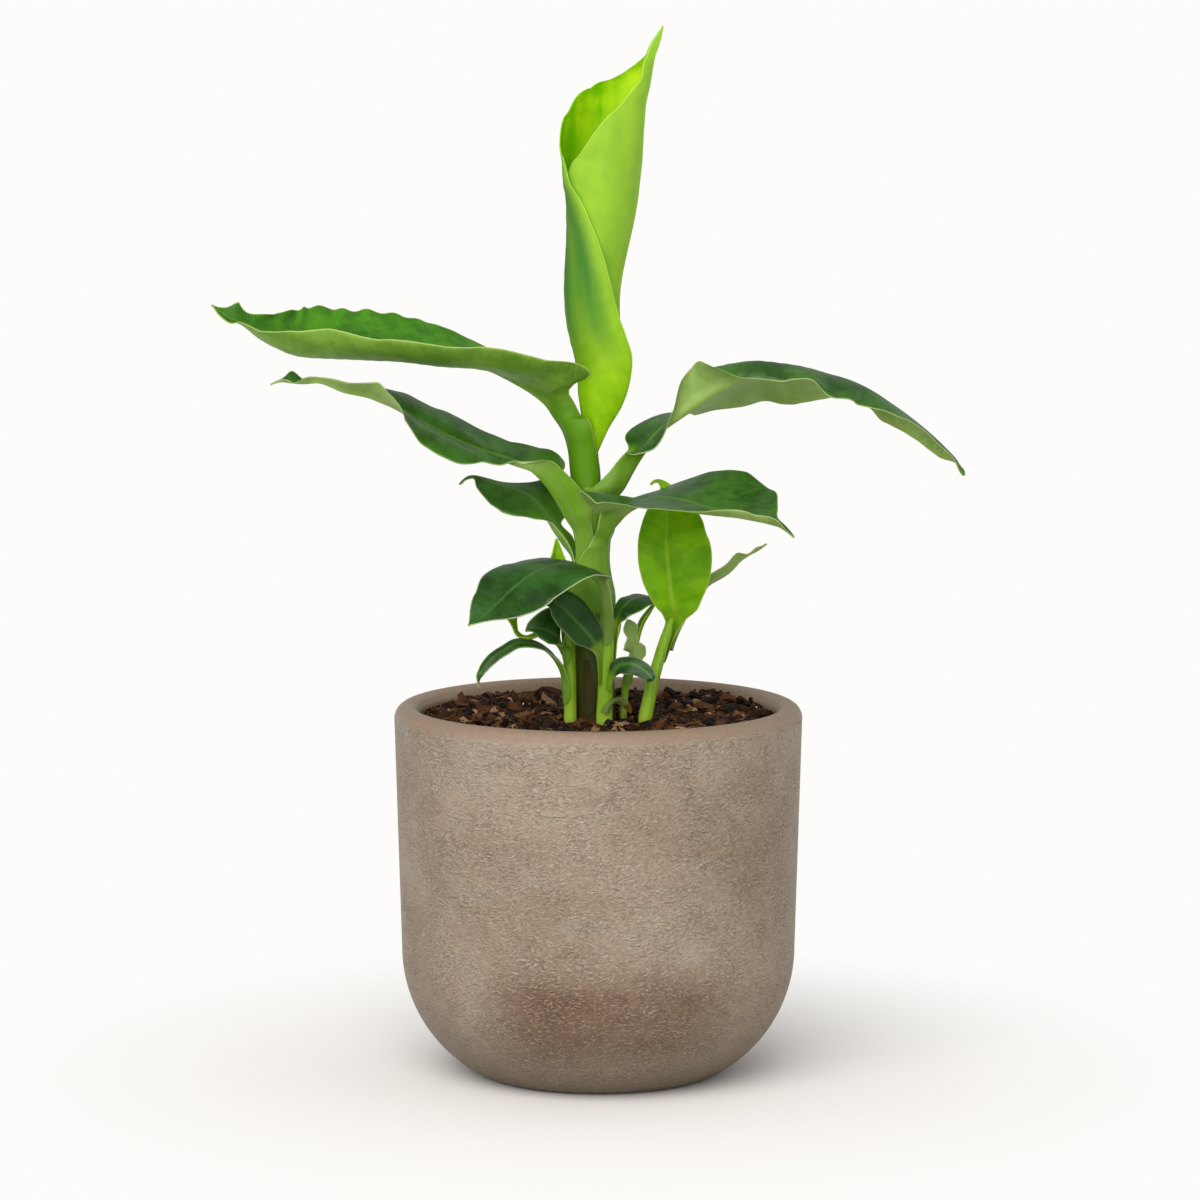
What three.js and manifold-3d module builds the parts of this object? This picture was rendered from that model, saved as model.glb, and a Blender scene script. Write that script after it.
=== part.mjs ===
// A potted young banana plant: a round bowl-shaped pot, bark mix, four small offshoots
// around one main stem, and their leaves. Millimetres, +Z up, the pot stands on z = 0
// with its axis on the Z axis, and the plant is seen from -Y.
import * as THREE from "three";
import { mergeVertices } from "three/addons/utils/BufferGeometryUtils.js";
import Module from "manifold-3d";

const wasm = await Module();
wasm.setup();

// Pot
const POT_HEIGHT = 175;
const POT_RIM_RADIUS = 96.2;
const POT_SHOULDER_RADIUS = 92.9;
const POT_SHOULDER_HEIGHT = 59;
const POT_BELLY_DEPTH = 65;
const POT_BELLY_HEIGHT = 65.6;
const POT_LIP_RADIUS = 6.3;
const POT_WALL = 12.4;
const POT_FLOOR = 14;
const POT_SIDES = 48;
const POT_OUTSIDE_HEIGHTS = [3, 9, 18, 30, 44, POT_SHOULDER_HEIGHT, 120];
const POT_INSIDE_HEIGHTS = [120, POT_SHOULDER_HEIGHT, 30, POT_FLOOR];
const LIP_STEPS = 6;

// Bark mix
const SOIL_MIDDLE_HEIGHT = 166.8;
const SOIL_DISH_RISE = 2.7;
const SOIL_DISH_RADIUS = 80;
const SOIL_WALL_GAP = 0.7;
const SOIL_FLOOR_GAP = 0.4;
const SOIL_WALL_HEIGHTS = [30, POT_SHOULDER_HEIGHT, 120];
const SOIL_DISH_STEPS = [60, 30];
const CHIP_COUNT = 30;
const CHIP_SEED = 11;
const CHIP_REACH = [14, 72];
const CHIP_LENGTH = [5, 10];
const CHIP_WIDTH = [2.5, 4.5];
const CHIP_THICKNESS = [1.4, 2.6];
const CHIP_TILT = 0.45;
const CHIP_LIFT = 0.3;
const CHIP_STEM_CLEARANCE = 7;

// Clearances and thin walls
const STEM_HOLE_GAP = 0.4;
const STEM_SIDES = 20;
const SHEATH_GAP = 0.5;
const SHEATH_LAYER = 1.45;
const SHEATH_THICKNESS = 0.9;
const ARC_STEPS = 12;
const RIPPLE_FADE_IN = 0.12;
const RIPPLE_FADE_OUT = 0.08;
const RIB_SPREAD = 0.8;
const RIB_EDGE = 0.3;
const TANGENT_STEP = 1e-4;
const WELD_DISTANCE = 1e-4;
const RANDOM_FACTOR = 1664525;
const RANDOM_STEP = 1013904223;
const RANDOM_RANGE = 2 ** 32;
const DEGREE = Math.PI / 180;

// Cell positions across a half blade, from the midrib to the margin
const WIDE_BLADE = [0, 0.15, 0.4, 0.7, 1];
const NARROW_BLADE = [0, 0.3, 0.65, 1];
const WRAPPED_BLADE = [0, 0.15, 0.32, 0.5, 0.68, 0.85, 1];

// Stems: each row is x, y, z and the radius
const STEMS = {
  main_stem: [
    [-1.5, 0, 158, 9.9], [-1.6, 0, 172, 9.8], [-2.4, 0, 205, 9.4], [-3, 0, 229.5, 9.3],
    [-3.1, 0, 230.3, 5], [-3.5, 0, 247, 5], [-4.3, 0, 262, 5], [-5.8, 0, 290, 5],
  ],
  front_shoot_stem: [
    [2.7, -15.2, 158, 4], [2.8, -15.2, 172, 3.8], [3.6, -15.6, 190, 3.5], [4, -16, 205, 3.5],
    [4.2, -16, 214, 3.3],
  ],
  left_shoot_stem: [
    [-13.2, -7.4, 158, 3], [-13.1, -7.4, 172, 3], [-13.2, -7.3, 190, 3], [-13.6, -7.2, 200, 3],
    [-13.8, -7, 212, 2.9],
  ],
  right_shoot_stem: [
    [21.8, -6, 158, 3.6], [22.2, -6, 170, 3.4], [25.5, -5.6, 186, 3], [30, -5, 202, 2.7],
    [34.5, -4, 216, 2.4],
  ],
  small_shoot_stem: [
    [11.6, 1, 158, 1.6], [11.8, 1, 170, 1.6], [13, 1, 186, 1.8], [16, 1, 198, 1.4],
    [17.5, 1, 206, 1.2],
  ],
};

// Leaves. A sheath row is z, the wrap to the left and to the right in degrees, an extra radius,
// and the side of the stem it lies on in degrees, or else the side that the leaf leaves by.
// A blade row is x, y, z, roll, rib thickness, and then for each half of the blade
// [width, first slope, last slope, sweep along the leaf, easing of the bend].
const LEAVES = {
  unfurling_leaf: {
    stem: "main_stem", azimuth: 0, thickness: 0.8, across: WRAPPED_BLADE, steps: 1,
    rows: [
      [-2.5, 0, 294, 0, 1.6, [18, 0, 303, 0, 0.5], [8, 0, 280, 0, 0.3]],
      [1, 0, 305.5, 0, 2, [30, 0, 305, 0, 0.5], [14, 0, 280, 0, 0.3]],
      [5, 0, 318.5, 0, 2, [51, 0, 310, 0, 0.5], [23, 0, 285, 0, 0.3]],
      [7.5, 0, 328, 0, 2, [60, 0, 306, 0, 0.5], [30, 0, 290, 0, 0.3]],
      [9, 0, 338.5, 0, 2, [67, 0, 300, 0, 0.5], [35, 0, 290, 0, 0.3]],
      [9, 0, 348, 0, 1.9, [69.5, 0, 294, 0, 0.45], [39, 0, 290, 0, 0.3]],
      [8.3, 0, 359, 0, 1.8, [70, 0, 290, 0, 0.38], [44, 0, 285, 0, 0.3]],
      [8.8, 0, 370.5, 0, 1.7, [69, 0, 289, 0, 0.26], [50, 0, 275, 0, 0.2]],
      [10, 0, 378.5, 0, 1.7, [68, 0, 285, 0, 0.17], [51, 0, 260, 0, 0.1]],
      [12, 0, 387.5, 0, 1.6, [67, 0, 275, 0, 0.07], [51, 0, 235]],
      [14.8, 0, 400, 0, 1.6, [66, 0, 252], [50, 0, 205]],
      [17, 0, 411.5, 0, 1.5, [65, 0, 227], [48, 0, 178]],
      [18, 0, 420.5, 0, 1.5, [63, 0, 209], [45, 0, 156]],
      [19, 0, 428.5, 0, 1.4, [61.5, 0, 195], [40, 0, 136]],
      [19.5, 0, 436.5, 0, 1.4, [60, 0, 185], [35, 0, 112]],
      [20, 0, 444, 0, 1.3, [58, 0, 180, -2], [30, 0, 98]],
      [20.5, 0, 450, 0, 1.3, [53.5, 0, 170, -3], [25, 0, 85]],
      [21, 0, 455.5, 0, 1.2, [46.5, 0, 158, -4], [19, 0, 69]],
      [22.5, 0, 462.5, 0, 1.2, [35, 0, 135, -5], [13.5, 0, 55]],
      [23.5, 0, 467, 0, 1.1, [29, 0, 120, -5], [10.5, 0, 45]],
      [24.5, 0, 473, 0, 1, [16, 0, 85, -3], [9.5, 0, 52]],
      [25.5, 0, 477.5, 0, 1, [4.5, 30, 80], [4, 30, 75]],
      [28, 0, 483.5, 0, 0.9, [3.6, 60, 90], [3.4, 60, 90]],
      [29, 0, 488.5, 0, 0.9, [1.6, 40, 90], [1.6, 40, 90]],
      [29.5, 0, 492, 0, 0.8, [0.5, 0, 0], [0.5, 0, 0]],
    ],
  },
  upper_left_leaf: {
    stem: "main_stem", azimuth: 183, thickness: 0.8, across: WRAPPED_BLADE, steps: 2,
    sheath: [
      [262, 150, 150, 0.4], [270, 150, 150, 0.9], [285, 148, 150, 1.4], [296, 118, 130, 2.4],
      [303, 104, 106, 4.5],
    ],
    wave: { right: [1.2, 9, 0.2, 0.55] },
    rows: [
      [-19.7, 0, 311, 0, 1.8, [14.2, 0, 115, -5.7], [12, 0, 95, -3]],
      [-23, -1, 317, -4, 2.4, [13, 15, 105, -2], [9, 15, 80, -3]],
      [-26.5, -1, 320.5, -5, 2.6, [27, 22, 85, -8], [14, 10, 30, -5]],
      [-30.5, -2, 323.5, -6, 2.6, [35, 25, 75, -10], [19, 10, 0, -6]],
      [-39, -3, 328.5, -6, 2.4, [34, 5, 66, -6], [23, 10, 0, -2]],
      [-55, -4, 335.5, -6, 2.2, [34, -16, 68], [24, 10, 12]],
      [-78.5, -6, 339, -6, 2, [34, -24, 66], [28, 16, 32]],
      [-101.5, -7, 341, -6, 1.8, [34, -24, 66], [32, 17, 38]],
      [-125, -8, 340.5, -4, 1.6, [34, -18, 78], [34, 21, 42]],
      [-143.5, -9, 342, -2, 1.4, [28, -15, 68], [30, 30, 47]],
      [-156.5, -9, 348, 0, 1.2, [16, -5, 35], [18, 40, 58]],
      [-166, -9, 355, 0, 1, [6, -10, 20], [7, 50, 60]],
      [-171, -9, 357, 0, 0.9, [4, -30, -30], [9, 60, 70]],
      [-175, -9, 359.5, 0, 0.9, [2.5, -30, -30], [3.5, 60, 70]],
      [-179.5, -9, 363.5, 0, 0.8, [0.5, 0, 0], [0.5, 0, 0]],
    ],
  },
  upper_right_leaf: {
    stem: "main_stem", azimuth: -8, lean: 3.5, thickness: 0.8, across: WIDE_BLADE, steps: 1,
    sheath: [[244, 85, 100, 0], [254, 85, 104, 0.1], [261, 85, 110, 1.75]],
    rows: [
      [4.1, -1.3, 268, 0, 1, [14.5, 0, 95], [17.3, 0, 114, -1]],
      [10.2, -3.5, 277, 0, 2, [8.5, 20, 90], [15, 0, 104, -5]],
      [14.4, -5, 286, 0, 2.6, [8, 20, 100], [8.5, 12, 100, -1]],
      [18.2, -6, 292.8, 0, 2.8, [7.5, 20, 85, -2], [8, 8, 65, -1]],
      [21.8, -7, 298, 0, 2.8, [13.5, 24, 55, -6], [10.5, 0, 5, -5]],
      [25.7, -7, 302.6, 0, 2.8, [17, 24, 44, -7], [11.5, -15, -30, -3]],
      [30, -7, 307, 0, 2.7, [18.5, 18, 20, -3], [8.5, -10, -15, 2]],
      [35.3, -8, 310.8, 0, 2.6, [18.5, 2, -4, 1], [7, 20, 35, 3]],
      [40, -9, 314, 0, 2.5, [20, -8, -15], [13, 65, 80, 7]],
      [46, -9, 318, 0, 2.4, [23, -12, -22], [15, 85, 85, 7]],
      [58, -10, 325.5, 0, 2.2, [29, -15, -38], [20, 85, -20, 3]],
      [70.5, -12, 331.5, 0, 2, [31, -18, -43], [27, 65, -68]],
      [86.5, -14, 334.5, 0, 1.8, [31, -25, -52], [28, 30, -50]],
      [103.5, -17, 332.5, 0, 1.6, [28, -20, -45], [26, 15, -22]],
      [114.5, -19, 330, 0, 1.5, [24, -15, -35], [24, 0, -40]],
      [124, -20, 326, 0, 1.4, [21, -20, -38], [21, 0, -36]],
      [136, -23, 318.5, 0, 1.3, [17, -30, -60], [17, 5, -15]],
      [149.5, -26, 308.5, 0, 1.1, [12, -30, -60], [12, 5, 5]],
      [160.5, -28, 298.5, 0, 0.9, [9, -30, -60], [7, 0, 0]],
      [166, -29, 292.5, 0, 0.9, [4, -20, -50], [4, 0, 0]],
      [169, -30, 285.5, 0, 0.8, [0.5, 0, 0], [0.5, 0, 0]],
    ],
  },
  middle_left_leaf: {
    stem: "main_stem", azimuth: 205, layer: 2, lean: 2, thickness: 0.8, across: WIDE_BLADE, steps: 1,
    sheath: [[230.8, 78, 78, 0], [247, 78, 76, 0], [256, 76, 70, 0.4]],
    rows: [
      [-14.2, -4.5, 264.5, 0, 2, [13.5, 0, 86], [11, 5, 84]],
      [-18.5, -7.5, 274.5, 0, 3, [11.5, 8, 90], [9, 10, 90]],
      [-24, -10, 282.5, 0, 3.2, [9, 20, 95, -2], [12, 20, 70, -7]],
      [-30.5, -12, 288, 0, 3.1, [8, 30, 80, -6], [19, 30, 50, -15]],
      [-38.5, -14, 291.5, 0, 3, [2.5, 0, 0, -2], [18, 30, 40, -13]],
      [-47, -16, 294.5, 2, 2.8, [9, -30, -40, -2], [17, 30, 35, -8]],
      [-55, -17, 297, 5, 2.6, [15, -20, -45], [19, 40, 30, -6]],
      [-68.5, -21, 303, 5, 2.2, [24, -20, -50], [26, 50, 15]],
      [-82.5, -25, 311, 5, 2, [26, -15, -50], [26, 50, 10]],
      [-93.5, -29, 318, 5, 1.8, [22, -5, -38], [20, 45, 10]],
      [-99, -31, 320.5, 5, 1.7, [18, 0, 0], [15, 40, 10]],
      [-106, -32, 323, 5, 1.6, [12, 25, 25], [13, 20, 20]],
      [-116.5, -35, 325.5, 5, 1.4, [8.5, 22, 22], [10, 10, 10]],
      [-129, -38, 330, 5, 1.1, [3, 30, 30], [3, 10, 10]],
      [-135, -39, 329.5, 0, 1, [5, 20, 30], [6, 20, 20]],
      [-140.5, -40, 330, 0, 1, [5, -10, -10], [7, 40, 50]],
      [-145, -41, 330.5, 0, 0.9, [1.5, 20, 20], [1.5, 40, 40]],
      [-150.5, -42, 329, 0, 0.8, [0.5, 0, 0], [0.5, 0, 0]],
    ],
  },
  middle_right_leaf: {
    stem: "main_stem", azimuth: 322, layer: 3, lean: 3, thickness: 0.8, across: WIDE_BLADE, steps: 2,
    sheath: [[230.8, 150, 104, 0], [243, 125, 92, 0], [250, 100, 60, 0.6]],
    rows: [
      [4.7, -9.3, 258, 0, 2.2, [10, 5, 80], [5.6, 2, 50, -2]],
      [8.5, -12, 264.5, 0, 3, [7, 10, 80], [8, 10, 75, -2]],
      [14, -16, 270, 0, 3, [8, 20, 50, -6], [12, 10, 20, -10]],
      [19.5, -19, 273, 0, 3, [13, 15, 20, -6], [29, 12, 30, -15]],
      [25, -22, 275, 0, 2.8, [21, 8, 14, -6], [32, -6, 8, -10]],
      [36, -31, 275.5, 0, 2.4, [28, 15, 26], [33, -14, 12, -2]],
      [48, -42, 273, 0, 2, [32, 20, 28], [32, -14, 21]],
      [60.5, -53, 270.5, 0, 1.8, [29, 12, 20], [29, -10, 34]],
      [70, -63, 269.5, 0, 1.5, [17, 12, 16], [24, -10, 50]],
      [77.5, -71, 268.5, 0, 1.2, [6, 5, 10], [13, 0, 50]],
      [83, -77, 267, 0, 1, [3, 0, 0], [5, 40, 50]],
      [88.5, -82, 263, 0, 0.8, [0.5, 0, 0], [0.5, 0, 0]],
    ],
  },
  lower_left_leaf: {
    stem: "main_stem", azimuth: 165, layer: 3, lean: 2, thickness: 0.8, across: WIDE_BLADE, steps: 1,
    sheath: [[230.8, 48, 38, 0], [237, 48, 38, 0], [243, 42, 34, 0.1]],
    rows: [
      [-16, 4, 251.5, 0, 2, [6, 5, 60], [6, 5, 50]],
      [-20, 7, 258, 0, 2.4, [4, 5, 40], [4, 5, 40]],
      [-24.5, 10, 264.5, 0, 2.2, [8, -30, -40], [12, 30, 40, -3]],
      [-31, 13, 271, 0, 2, [14, -40, -50], [15, 40, 45]],
      [-37.5, 16, 274.5, 0, 1.7, [15, -45, -52], [9, 20, 25]],
      [-45.5, 19, 276.5, 0, 1.4, [13, -40, -50], [5, 10, 15]],
      [-53, 21, 278.5, 0, 1.1, [8, -35, -40], [3, 10, 10]],
      [-59, 23, 280.5, 0, 0.9, [2, -30, -30], [1.5, 0, 0]],
      [-62, 23.5, 280, 0, 0.9, [2, -30, -30], [1.5, 0, 0]],
      [-65.5, 24, 276, 0, 0.8, [0.5, 0, 0], [0.5, 0, 0]],
    ],
  },
  front_left_leaf: {
    stem: "front_shoot_stem", azimuth: 215, lean: 2, thickness: 0.7, across: NARROW_BLADE, steps: 2,
    sheath: [[205, 60, 60, 0, 262], [213, 50, 50, 0.3, 262]],
    rows: [
      [3, -23, 227, 0, 2, [3.2, 5, 70], [3.2, 5, 70]],
      [1.5, -25, 234.5, 0, 2, [3.4, 10, 50], [3.4, 10, 50]],
      [-2.5, -28, 240, 0, 2, [9, 10, -10, -3], [9, 20, 20, -5]],
      [-7, -31, 243.5, 0, 1.9, [20, 0, -14, -4], [13, 12, 6, -3]],
      [-13, -35, 245.5, 0, 1.8, [24, 0, -14], [17, 8, -4]],
      [-26, -45, 244.5, 0, 1.6, [23.5, 0, -22], [20.5, 8, -10]],
      [-37, -55, 238, 0, 1.4, [22, 0, -16], [18, 18, 2]],
      [-46.5, -65, 230, 0, 1.2, [17, 0, -10], [12, 25, 15]],
      [-52.5, -71, 225, 0, 1, [6, 0, -10], [8, 30, 30]],
      [-59, -76, 222, 0, 0.8, [0.5, 0, 0], [0.5, 0, 0]],
    ],
  },
  front_lower_leaf: {
    stem: "front_shoot_stem", azimuth: 190, thickness: 0.7, across: NARROW_BLADE, steps: 1,
    rows: [
      [1.1, -20.4, 187, -45, 1.1, [1.2, 0, -20], [1.2, 0, -20]],
      [1, -21, 194.5, -50, 1.3, [1.5, 0, -10], [1.5, 0, -10]],
      [0.3, -22.4, 202.5, -55, 1.6, [2.8, 0, 5], [2.8, 5, 5]],
      [-3, -24, 209, -60, 1.6, [6, 0, 0], [7, 15, 15]],
      [-7.5, -27, 214.5, -60, 1.5, [8.5, 0, -5], [9, 15, 10]],
      [-13, -29, 220.5, -60, 1.3, [8.5, 0, -5], [10, 15, 10]],
      [-18, -31, 225.5, -60, 1.2, [7.5, 0, 0], [8, 10, 10]],
      [-23, -33, 228, -50, 1, [4, 0, 0], [4.5, 0, 0]],
      [-27, -34, 227, -30, 0.9, [1.5, 0, 0], [1.5, 0, 0]],
      [-31.5, -35, 225.5, 0, 0.8, [0.5, 0, 0], [0.5, 0, 0]],
    ],
  },
  front_right_leaf: {
    stem: "front_shoot_stem", azimuth: 20, lean: 2, thickness: 0.7, across: NARROW_BLADE, steps: 1,
    sheath: [[190, 42, 42, 0.1, 45], [195, 42, 42, 0.1, 45], [202, 40, 40, 0.3, 45]],
    rows: [
      [9, -9.5, 212, 0, 1.5, [2.2, 0, 60], [2.2, 0, 60]],
      [10.5, -7.5, 220, 0, 1.4, [4, 20, 20, -2], [6, 0, -40, -3]],
      [14.5, -4.5, 224, 0, 1.4, [6, 25, 15], [8, -20, -70]],
      [20, 2, 225.5, 0, 1.3, [6, 20, 10], [7, -30, -60]],
      [26, 7, 224.5, 0, 1.2, [5, 20, 10], [6, -20, -50]],
      [31, 11, 222.5, 0, 1, [3, 10, 0], [3.5, -10, -20]],
      [34, 13, 219.5, 0, 0.8, [0.5, 0, 0], [0.5, 0, 0]],
    ],
  },
  front_drooping_leaf: {
    stem: "front_shoot_stem", azimuth: -15, lean: 2, thickness: 0.7, across: NARROW_BLADE, steps: 1,
    rows: [
      [4.8, -20.6, 184, 90, 1.1, [1.2, 0, -20], [1.2, 0, -20]],
      [6, -21.4, 191, 85, 1.3, [1.8, 0, -10], [1.8, 0, -10]],
      [9, -22.4, 195.5, 70, 1.5, [3.6, 10, 10], [3.8, 0, 0]],
      [14, -24, 197, 60, 1.4, [3.6, 10, 0], [5, 0, -10]],
      [20, -26, 195.5, 60, 1.3, [3.2, 10, 0], [4.5, 0, -10]],
      [23.5, -27.5, 192.5, 50, 1.1, [3, 0, 0], [3.5, 0, 0]],
      [25.5, -28.5, 189.5, 30, 0.9, [1.6, 0, 0], [2, 0, 0]],
      [25, -29, 186, 0, 0.8, [0.5, 0, 0], [0.5, 0, 0]],
    ],
  },
  base_scale_leaf: {
    stem: "front_shoot_stem", azimuth: -60, thickness: 0.7, across: NARROW_BLADE, steps: 1,
    rows: [
      [3.4, -20.6, 173.5, 0, 0.8, [2.4, 0, 25], [2.4, 0, 25]],
      [5.2, -21, 177.5, 0, 0.8, [2.3, 0, 20], [2.3, 0, 20]],
      [8.8, -18.8, 179.4, 0, 0.8, [2.2, 0, 10], [2.2, 0, 10]],
      [11.3, -15.5, 178, 0, 0.8, [1.9, 0, 0], [1.9, 0, 0]],
      [13.9, -12.5, 175, 0, 0.8, [1.4, 0, 0], [1.4, 0, 0]],
      [15, -11, 172.2, 0, 0.8, [0.5, 0, 0], [0.5, 0, 0]],
    ],
  },
  dried_sheath: {
    stem: "main_stem", azimuth: 250, thickness: 0.8, across: NARROW_BLADE, steps: 1,
    sheath: [[170.5, 24, 22, 0.1], [180, 22, 20, 0.1], [188, 16, 15, 0.1], [193, 9, 9, 0.3]],
    rows: [
      [-6.2, -10.4, 197, 0, 0.8, [0.5, 0, 0], [0.5, 0, 0]],
    ],
  },
  left_upright_leaf: {
    stem: "left_shoot_stem", azimuth: 110, thickness: 0.7, across: NARROW_BLADE, steps: 1,
    sheath: [[203, 42, 42, 0.2, 125]],
    rows: [
      [-15.7, -2, 213.5, 0, 1.4, [2.2, 0, 60], [2.2, 0, 60]],
      [-16.5, 1.5, 224, 0, 1.4, [3, 10, 40], [3, 10, 40]],
      [-18.5, 3, 231.5, 0, 1.3, [6, 20, 20], [6, 20, 20]],
      [-19.5, 4, 239, 0, 1.2, [5.5, 20, 20], [5.5, 20, 20]],
      [-19.5, 3.4, 245.5, 0, 1, [3, 20, 20], [3, 20, 20]],
      [-19.5, 2.4, 252.5, 0, 0.8, [0.5, 0, 0], [0.5, 0, 0]],
    ],
  },
  left_small_leaf: {
    stem: "left_shoot_stem", azimuth: 195, thickness: 0.7, across: NARROW_BLADE, steps: 1,
    sheath: [[199, 35, 35, 0.2, 163]],
    rows: [
      [-21, -9, 206, 0, 1.2, [1.6, 0, 60], [1.6, 0, 60]],
      [-27, -13, 209.5, 0, 1.2, [1.4, 0, 60], [1.4, 0, 60]],
      [-33.5, -17, 208.5, 0, 1.2, [1.4, 0, 60], [1.4, 0, 60]],
      [-37.5, -19, 210.5, -40, 1.2, [1.4, 0, 40], [1.4, 0, 40]],
      [-39, -21, 215.5, -60, 1.2, [2, 0, 0], [2, 0, 0]],
      [-40, -23, 221.5, -70, 1.1, [4.5, 0, 0], [4.5, 0, 0]],
      [-41.5, -25, 228, -70, 1, [4, 0, 0], [4, 0, 0]],
      [-43, -27, 234, -70, 0.8, [0.5, 0, 0], [0.5, 0, 0]],
    ],
  },
  left_arching_leaf: {
    stem: "left_shoot_stem", azimuth: 183, lean: 3, thickness: 0.7, across: NARROW_BLADE, steps: 1,
    sheath: [[176, 50, 50, 0.1, 222], [181, 50, 50, 0.1, 222], [188, 42, 42, 0.3, 215]],
    rows: [
      [-19.5, -12.5, 197.5, 0, 1.4, [1.8, 0, 50], [1.8, 0, 50]],
      [-24, -14.5, 202.5, -10, 1.3, [2.2, 0, -10], [2.6, 10, 10]],
      [-30.5, -16.5, 205.5, -20, 1.2, [2.8, 0, -20], [3.4, 10, 0]],
      [-38, -18.5, 206, -20, 1.1, [3, -10, -30], [3.6, 10, 0]],
      [-44, -20.5, 203, -20, 1.1, [3, -10, -30], [3.4, 10, 0]],
      [-49.5, -22.5, 199.5, -20, 1, [3, -10, -30], [3, 10, 0]],
      [-53.5, -24, 195, -10, 0.9, [2.4, -10, -30], [2.4, 0, 0]],
      [-55.5, -25, 191, 0, 0.9, [1.4, 0, 0], [1.4, 0, 0]],
      [-55, -26, 186, 0, 0.8, [0.5, 0, 0], [0.5, 0, 0]],
    ],
  },
  left_hanging_leaf: {
    stem: "left_shoot_stem", azimuth: 195, lean: 2, thickness: 0.7, across: NARROW_BLADE, steps: 1,
    sheath: [[195, 42, 42, 0.1, 247], [198, 42, 42, 0.2, 246], [202, 36, 36, 0.5, 243]],
    rows: [
      [-18, -13, 207, -20, 1.3, [4, -20, -40], [4, 20, 15]],
      [-21.5, -15, 210.5, -30, 1.2, [6, -20, -50], [10.5, 50, 75]],
      [-26.5, -17, 212.5, -30, 1, [5, -20, -50], [11, 65, 85]],
      [-31, -19, 213, -20, 0.9, [2, -20, -30], [4, 60, 70]],
      [-34, -20, 212, 0, 0.8, [0.5, 0, 0], [0.5, 0, 0]],
    ],
  },
  right_large_leaf: {
    stem: "right_shoot_stem", azimuth: 80, thickness: 0.8, across: NARROW_BLADE, steps: 1,
    sheath: [[194, 55, 55, 0.2, 62], [199, 55, 55, 0.2, 62], [206, 55, 55, 0.5, 66]],
    rows: [
      [36, 0.4, 214, 0, 2, [4.6, 5, 35], [4.6, 5, 30]],
      [35.8, 0.3, 218.5, 0, 2, [6, 15, 15], [11, 15, 15]],
      [34.5, 0, 225, 0, 1.9, [9.5, 15, 10], [16, 15, 10]],
      [33.5, 1.5, 234, 0, 1.7, [12.8, 15, 5], [19.8, 15, 5]],
      [32.5, 3, 243.5, 0, 1.6, [13.8, 15, 0], [21.3, 15, 0]],
      [32, 4.5, 252, 0, 1.5, [13.2, 15, 0], [20.6, 15, 0]],
      [32.5, 6, 260, 0, 1.4, [11.8, 15, 0], [17.6, 15, 0]],
      [32.5, 7, 266.5, 0, 1.3, [9.4, 15, 5], [13, 15, 5]],
      [32, 7, 273, 0, 1.1, [5, 10, 10], [5.5, 10, 10]],
      [30.5, 6, 277.5, 0, 1, [2, 0, 0], [2.6, 0, 0]],
      [27.5, 4, 280, 0, 0.9, [1, 0, 0], [1, 0, 0]],
      [24.5, 2, 278.5, 0, 0.8, [0.5, 0, 0], [0.5, 0, 0]],
    ],
  },
  right_thin_leaf: {
    stem: "right_shoot_stem", azimuth: 15, thickness: 0.7, across: NARROW_BLADE, steps: 1,
    rows: [
      [34, 3, 200, 0, 1.3, [2.2, 0, 60], [2.2, 0, 60]],
      [37, 6, 208, 0, 1.3, [2, 0, 60], [2, 0, 60]],
      [42.5, 9, 218, 0, 1.3, [2, 0, 50], [2, 0, 50]],
      [48, 12, 226, -20, 1.3, [3, 0, 0], [4, 20, 20]],
      [54, 14, 232, -30, 1.2, [4, 0, 0], [3.6, 30, 40]],
      [61.5, 16, 236, -30, 1.1, [4, 0, 0], [4, 30, 40]],
      [67, 18, 241, -30, 1, [3, 0, 0], [4.5, 40, 40]],
      [71, 19, 243.5, -10, 0.9, [1.2, 0, 0], [1.6, 20, 20]],
      [75, 20, 245.5, 0, 0.9, [1.4, 0, 0], [2, 50, 50]],
      [79.5, 21, 248.5, 0, 0.8, [0.5, 0, 0], [0.5, 0, 0]],
    ],
  },
  small_rolled_leaf: {
    stem: "small_shoot_stem", azimuth: 30, thickness: 0.7, across: NARROW_BLADE, steps: 1,
    rows: [
      [15.5, 3.5, 189.5, 0, 1.1, [1.4, 0, 60], [1.4, 0, 60]],
      [17, 4, 197.5, 0, 1.1, [1.4, 0, 60], [1.4, 0, 60]],
      [18.5, 5, 205, 0, 1.1, [1.8, 0, 80], [1.8, 0, 80]],
      [21, 6, 212.5, 0, 1, [2.2, 0, 100], [2.2, 0, 100]],
      [24, 7, 217.5, 0, 1, [1.6, 0, 80], [1.6, 0, 80]],
      [27, 8, 222.5, 0, 0.8, [0.5, 0, 0], [0.5, 0, 0]],
    ],
  },
  small_torn_leaf: {
    stem: "small_shoot_stem", azimuth: 100, thickness: 0.7, across: NARROW_BLADE, steps: 1,
    rows: [
      [14, -2, 184.5, 0, 1.1, [1.8, 0, 60], [1.8, 0, 60]],
      [15, -2.2, 192, 0, 1.1, [1.8, 0, 50], [1.8, 0, 50]],
      [16, -2, 196.5, 0, 1.2, [2, 0, 10], [3.2, 0, 0]],
      [17, -2, 199, 0, 1.2, [2.4, 0, 0], [5.4, 0, -10]],
      [17, -2, 201.5, 0, 1.2, [5.6, 10, 0], [5.6, 0, -10]],
      [16.5, -2, 204, 0, 1.1, [4.6, 10, 0], [2.4, 0, 0]],
      [16, -2, 207, 0, 1, [2.6, 10, 0], [2.6, 0, 0]],
      [15, -2, 210, 0, 1, [3.4, 10, 0], [4.2, 10, 0]],
      [14.5, -2, 212.5, 0, 0.9, [2.6, 10, 0], [3.4, 10, 0]],
      [14, -2, 215, 0, 0.8, [0.5, 0, 0], [0.5, 0, 0]],
    ],
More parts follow.
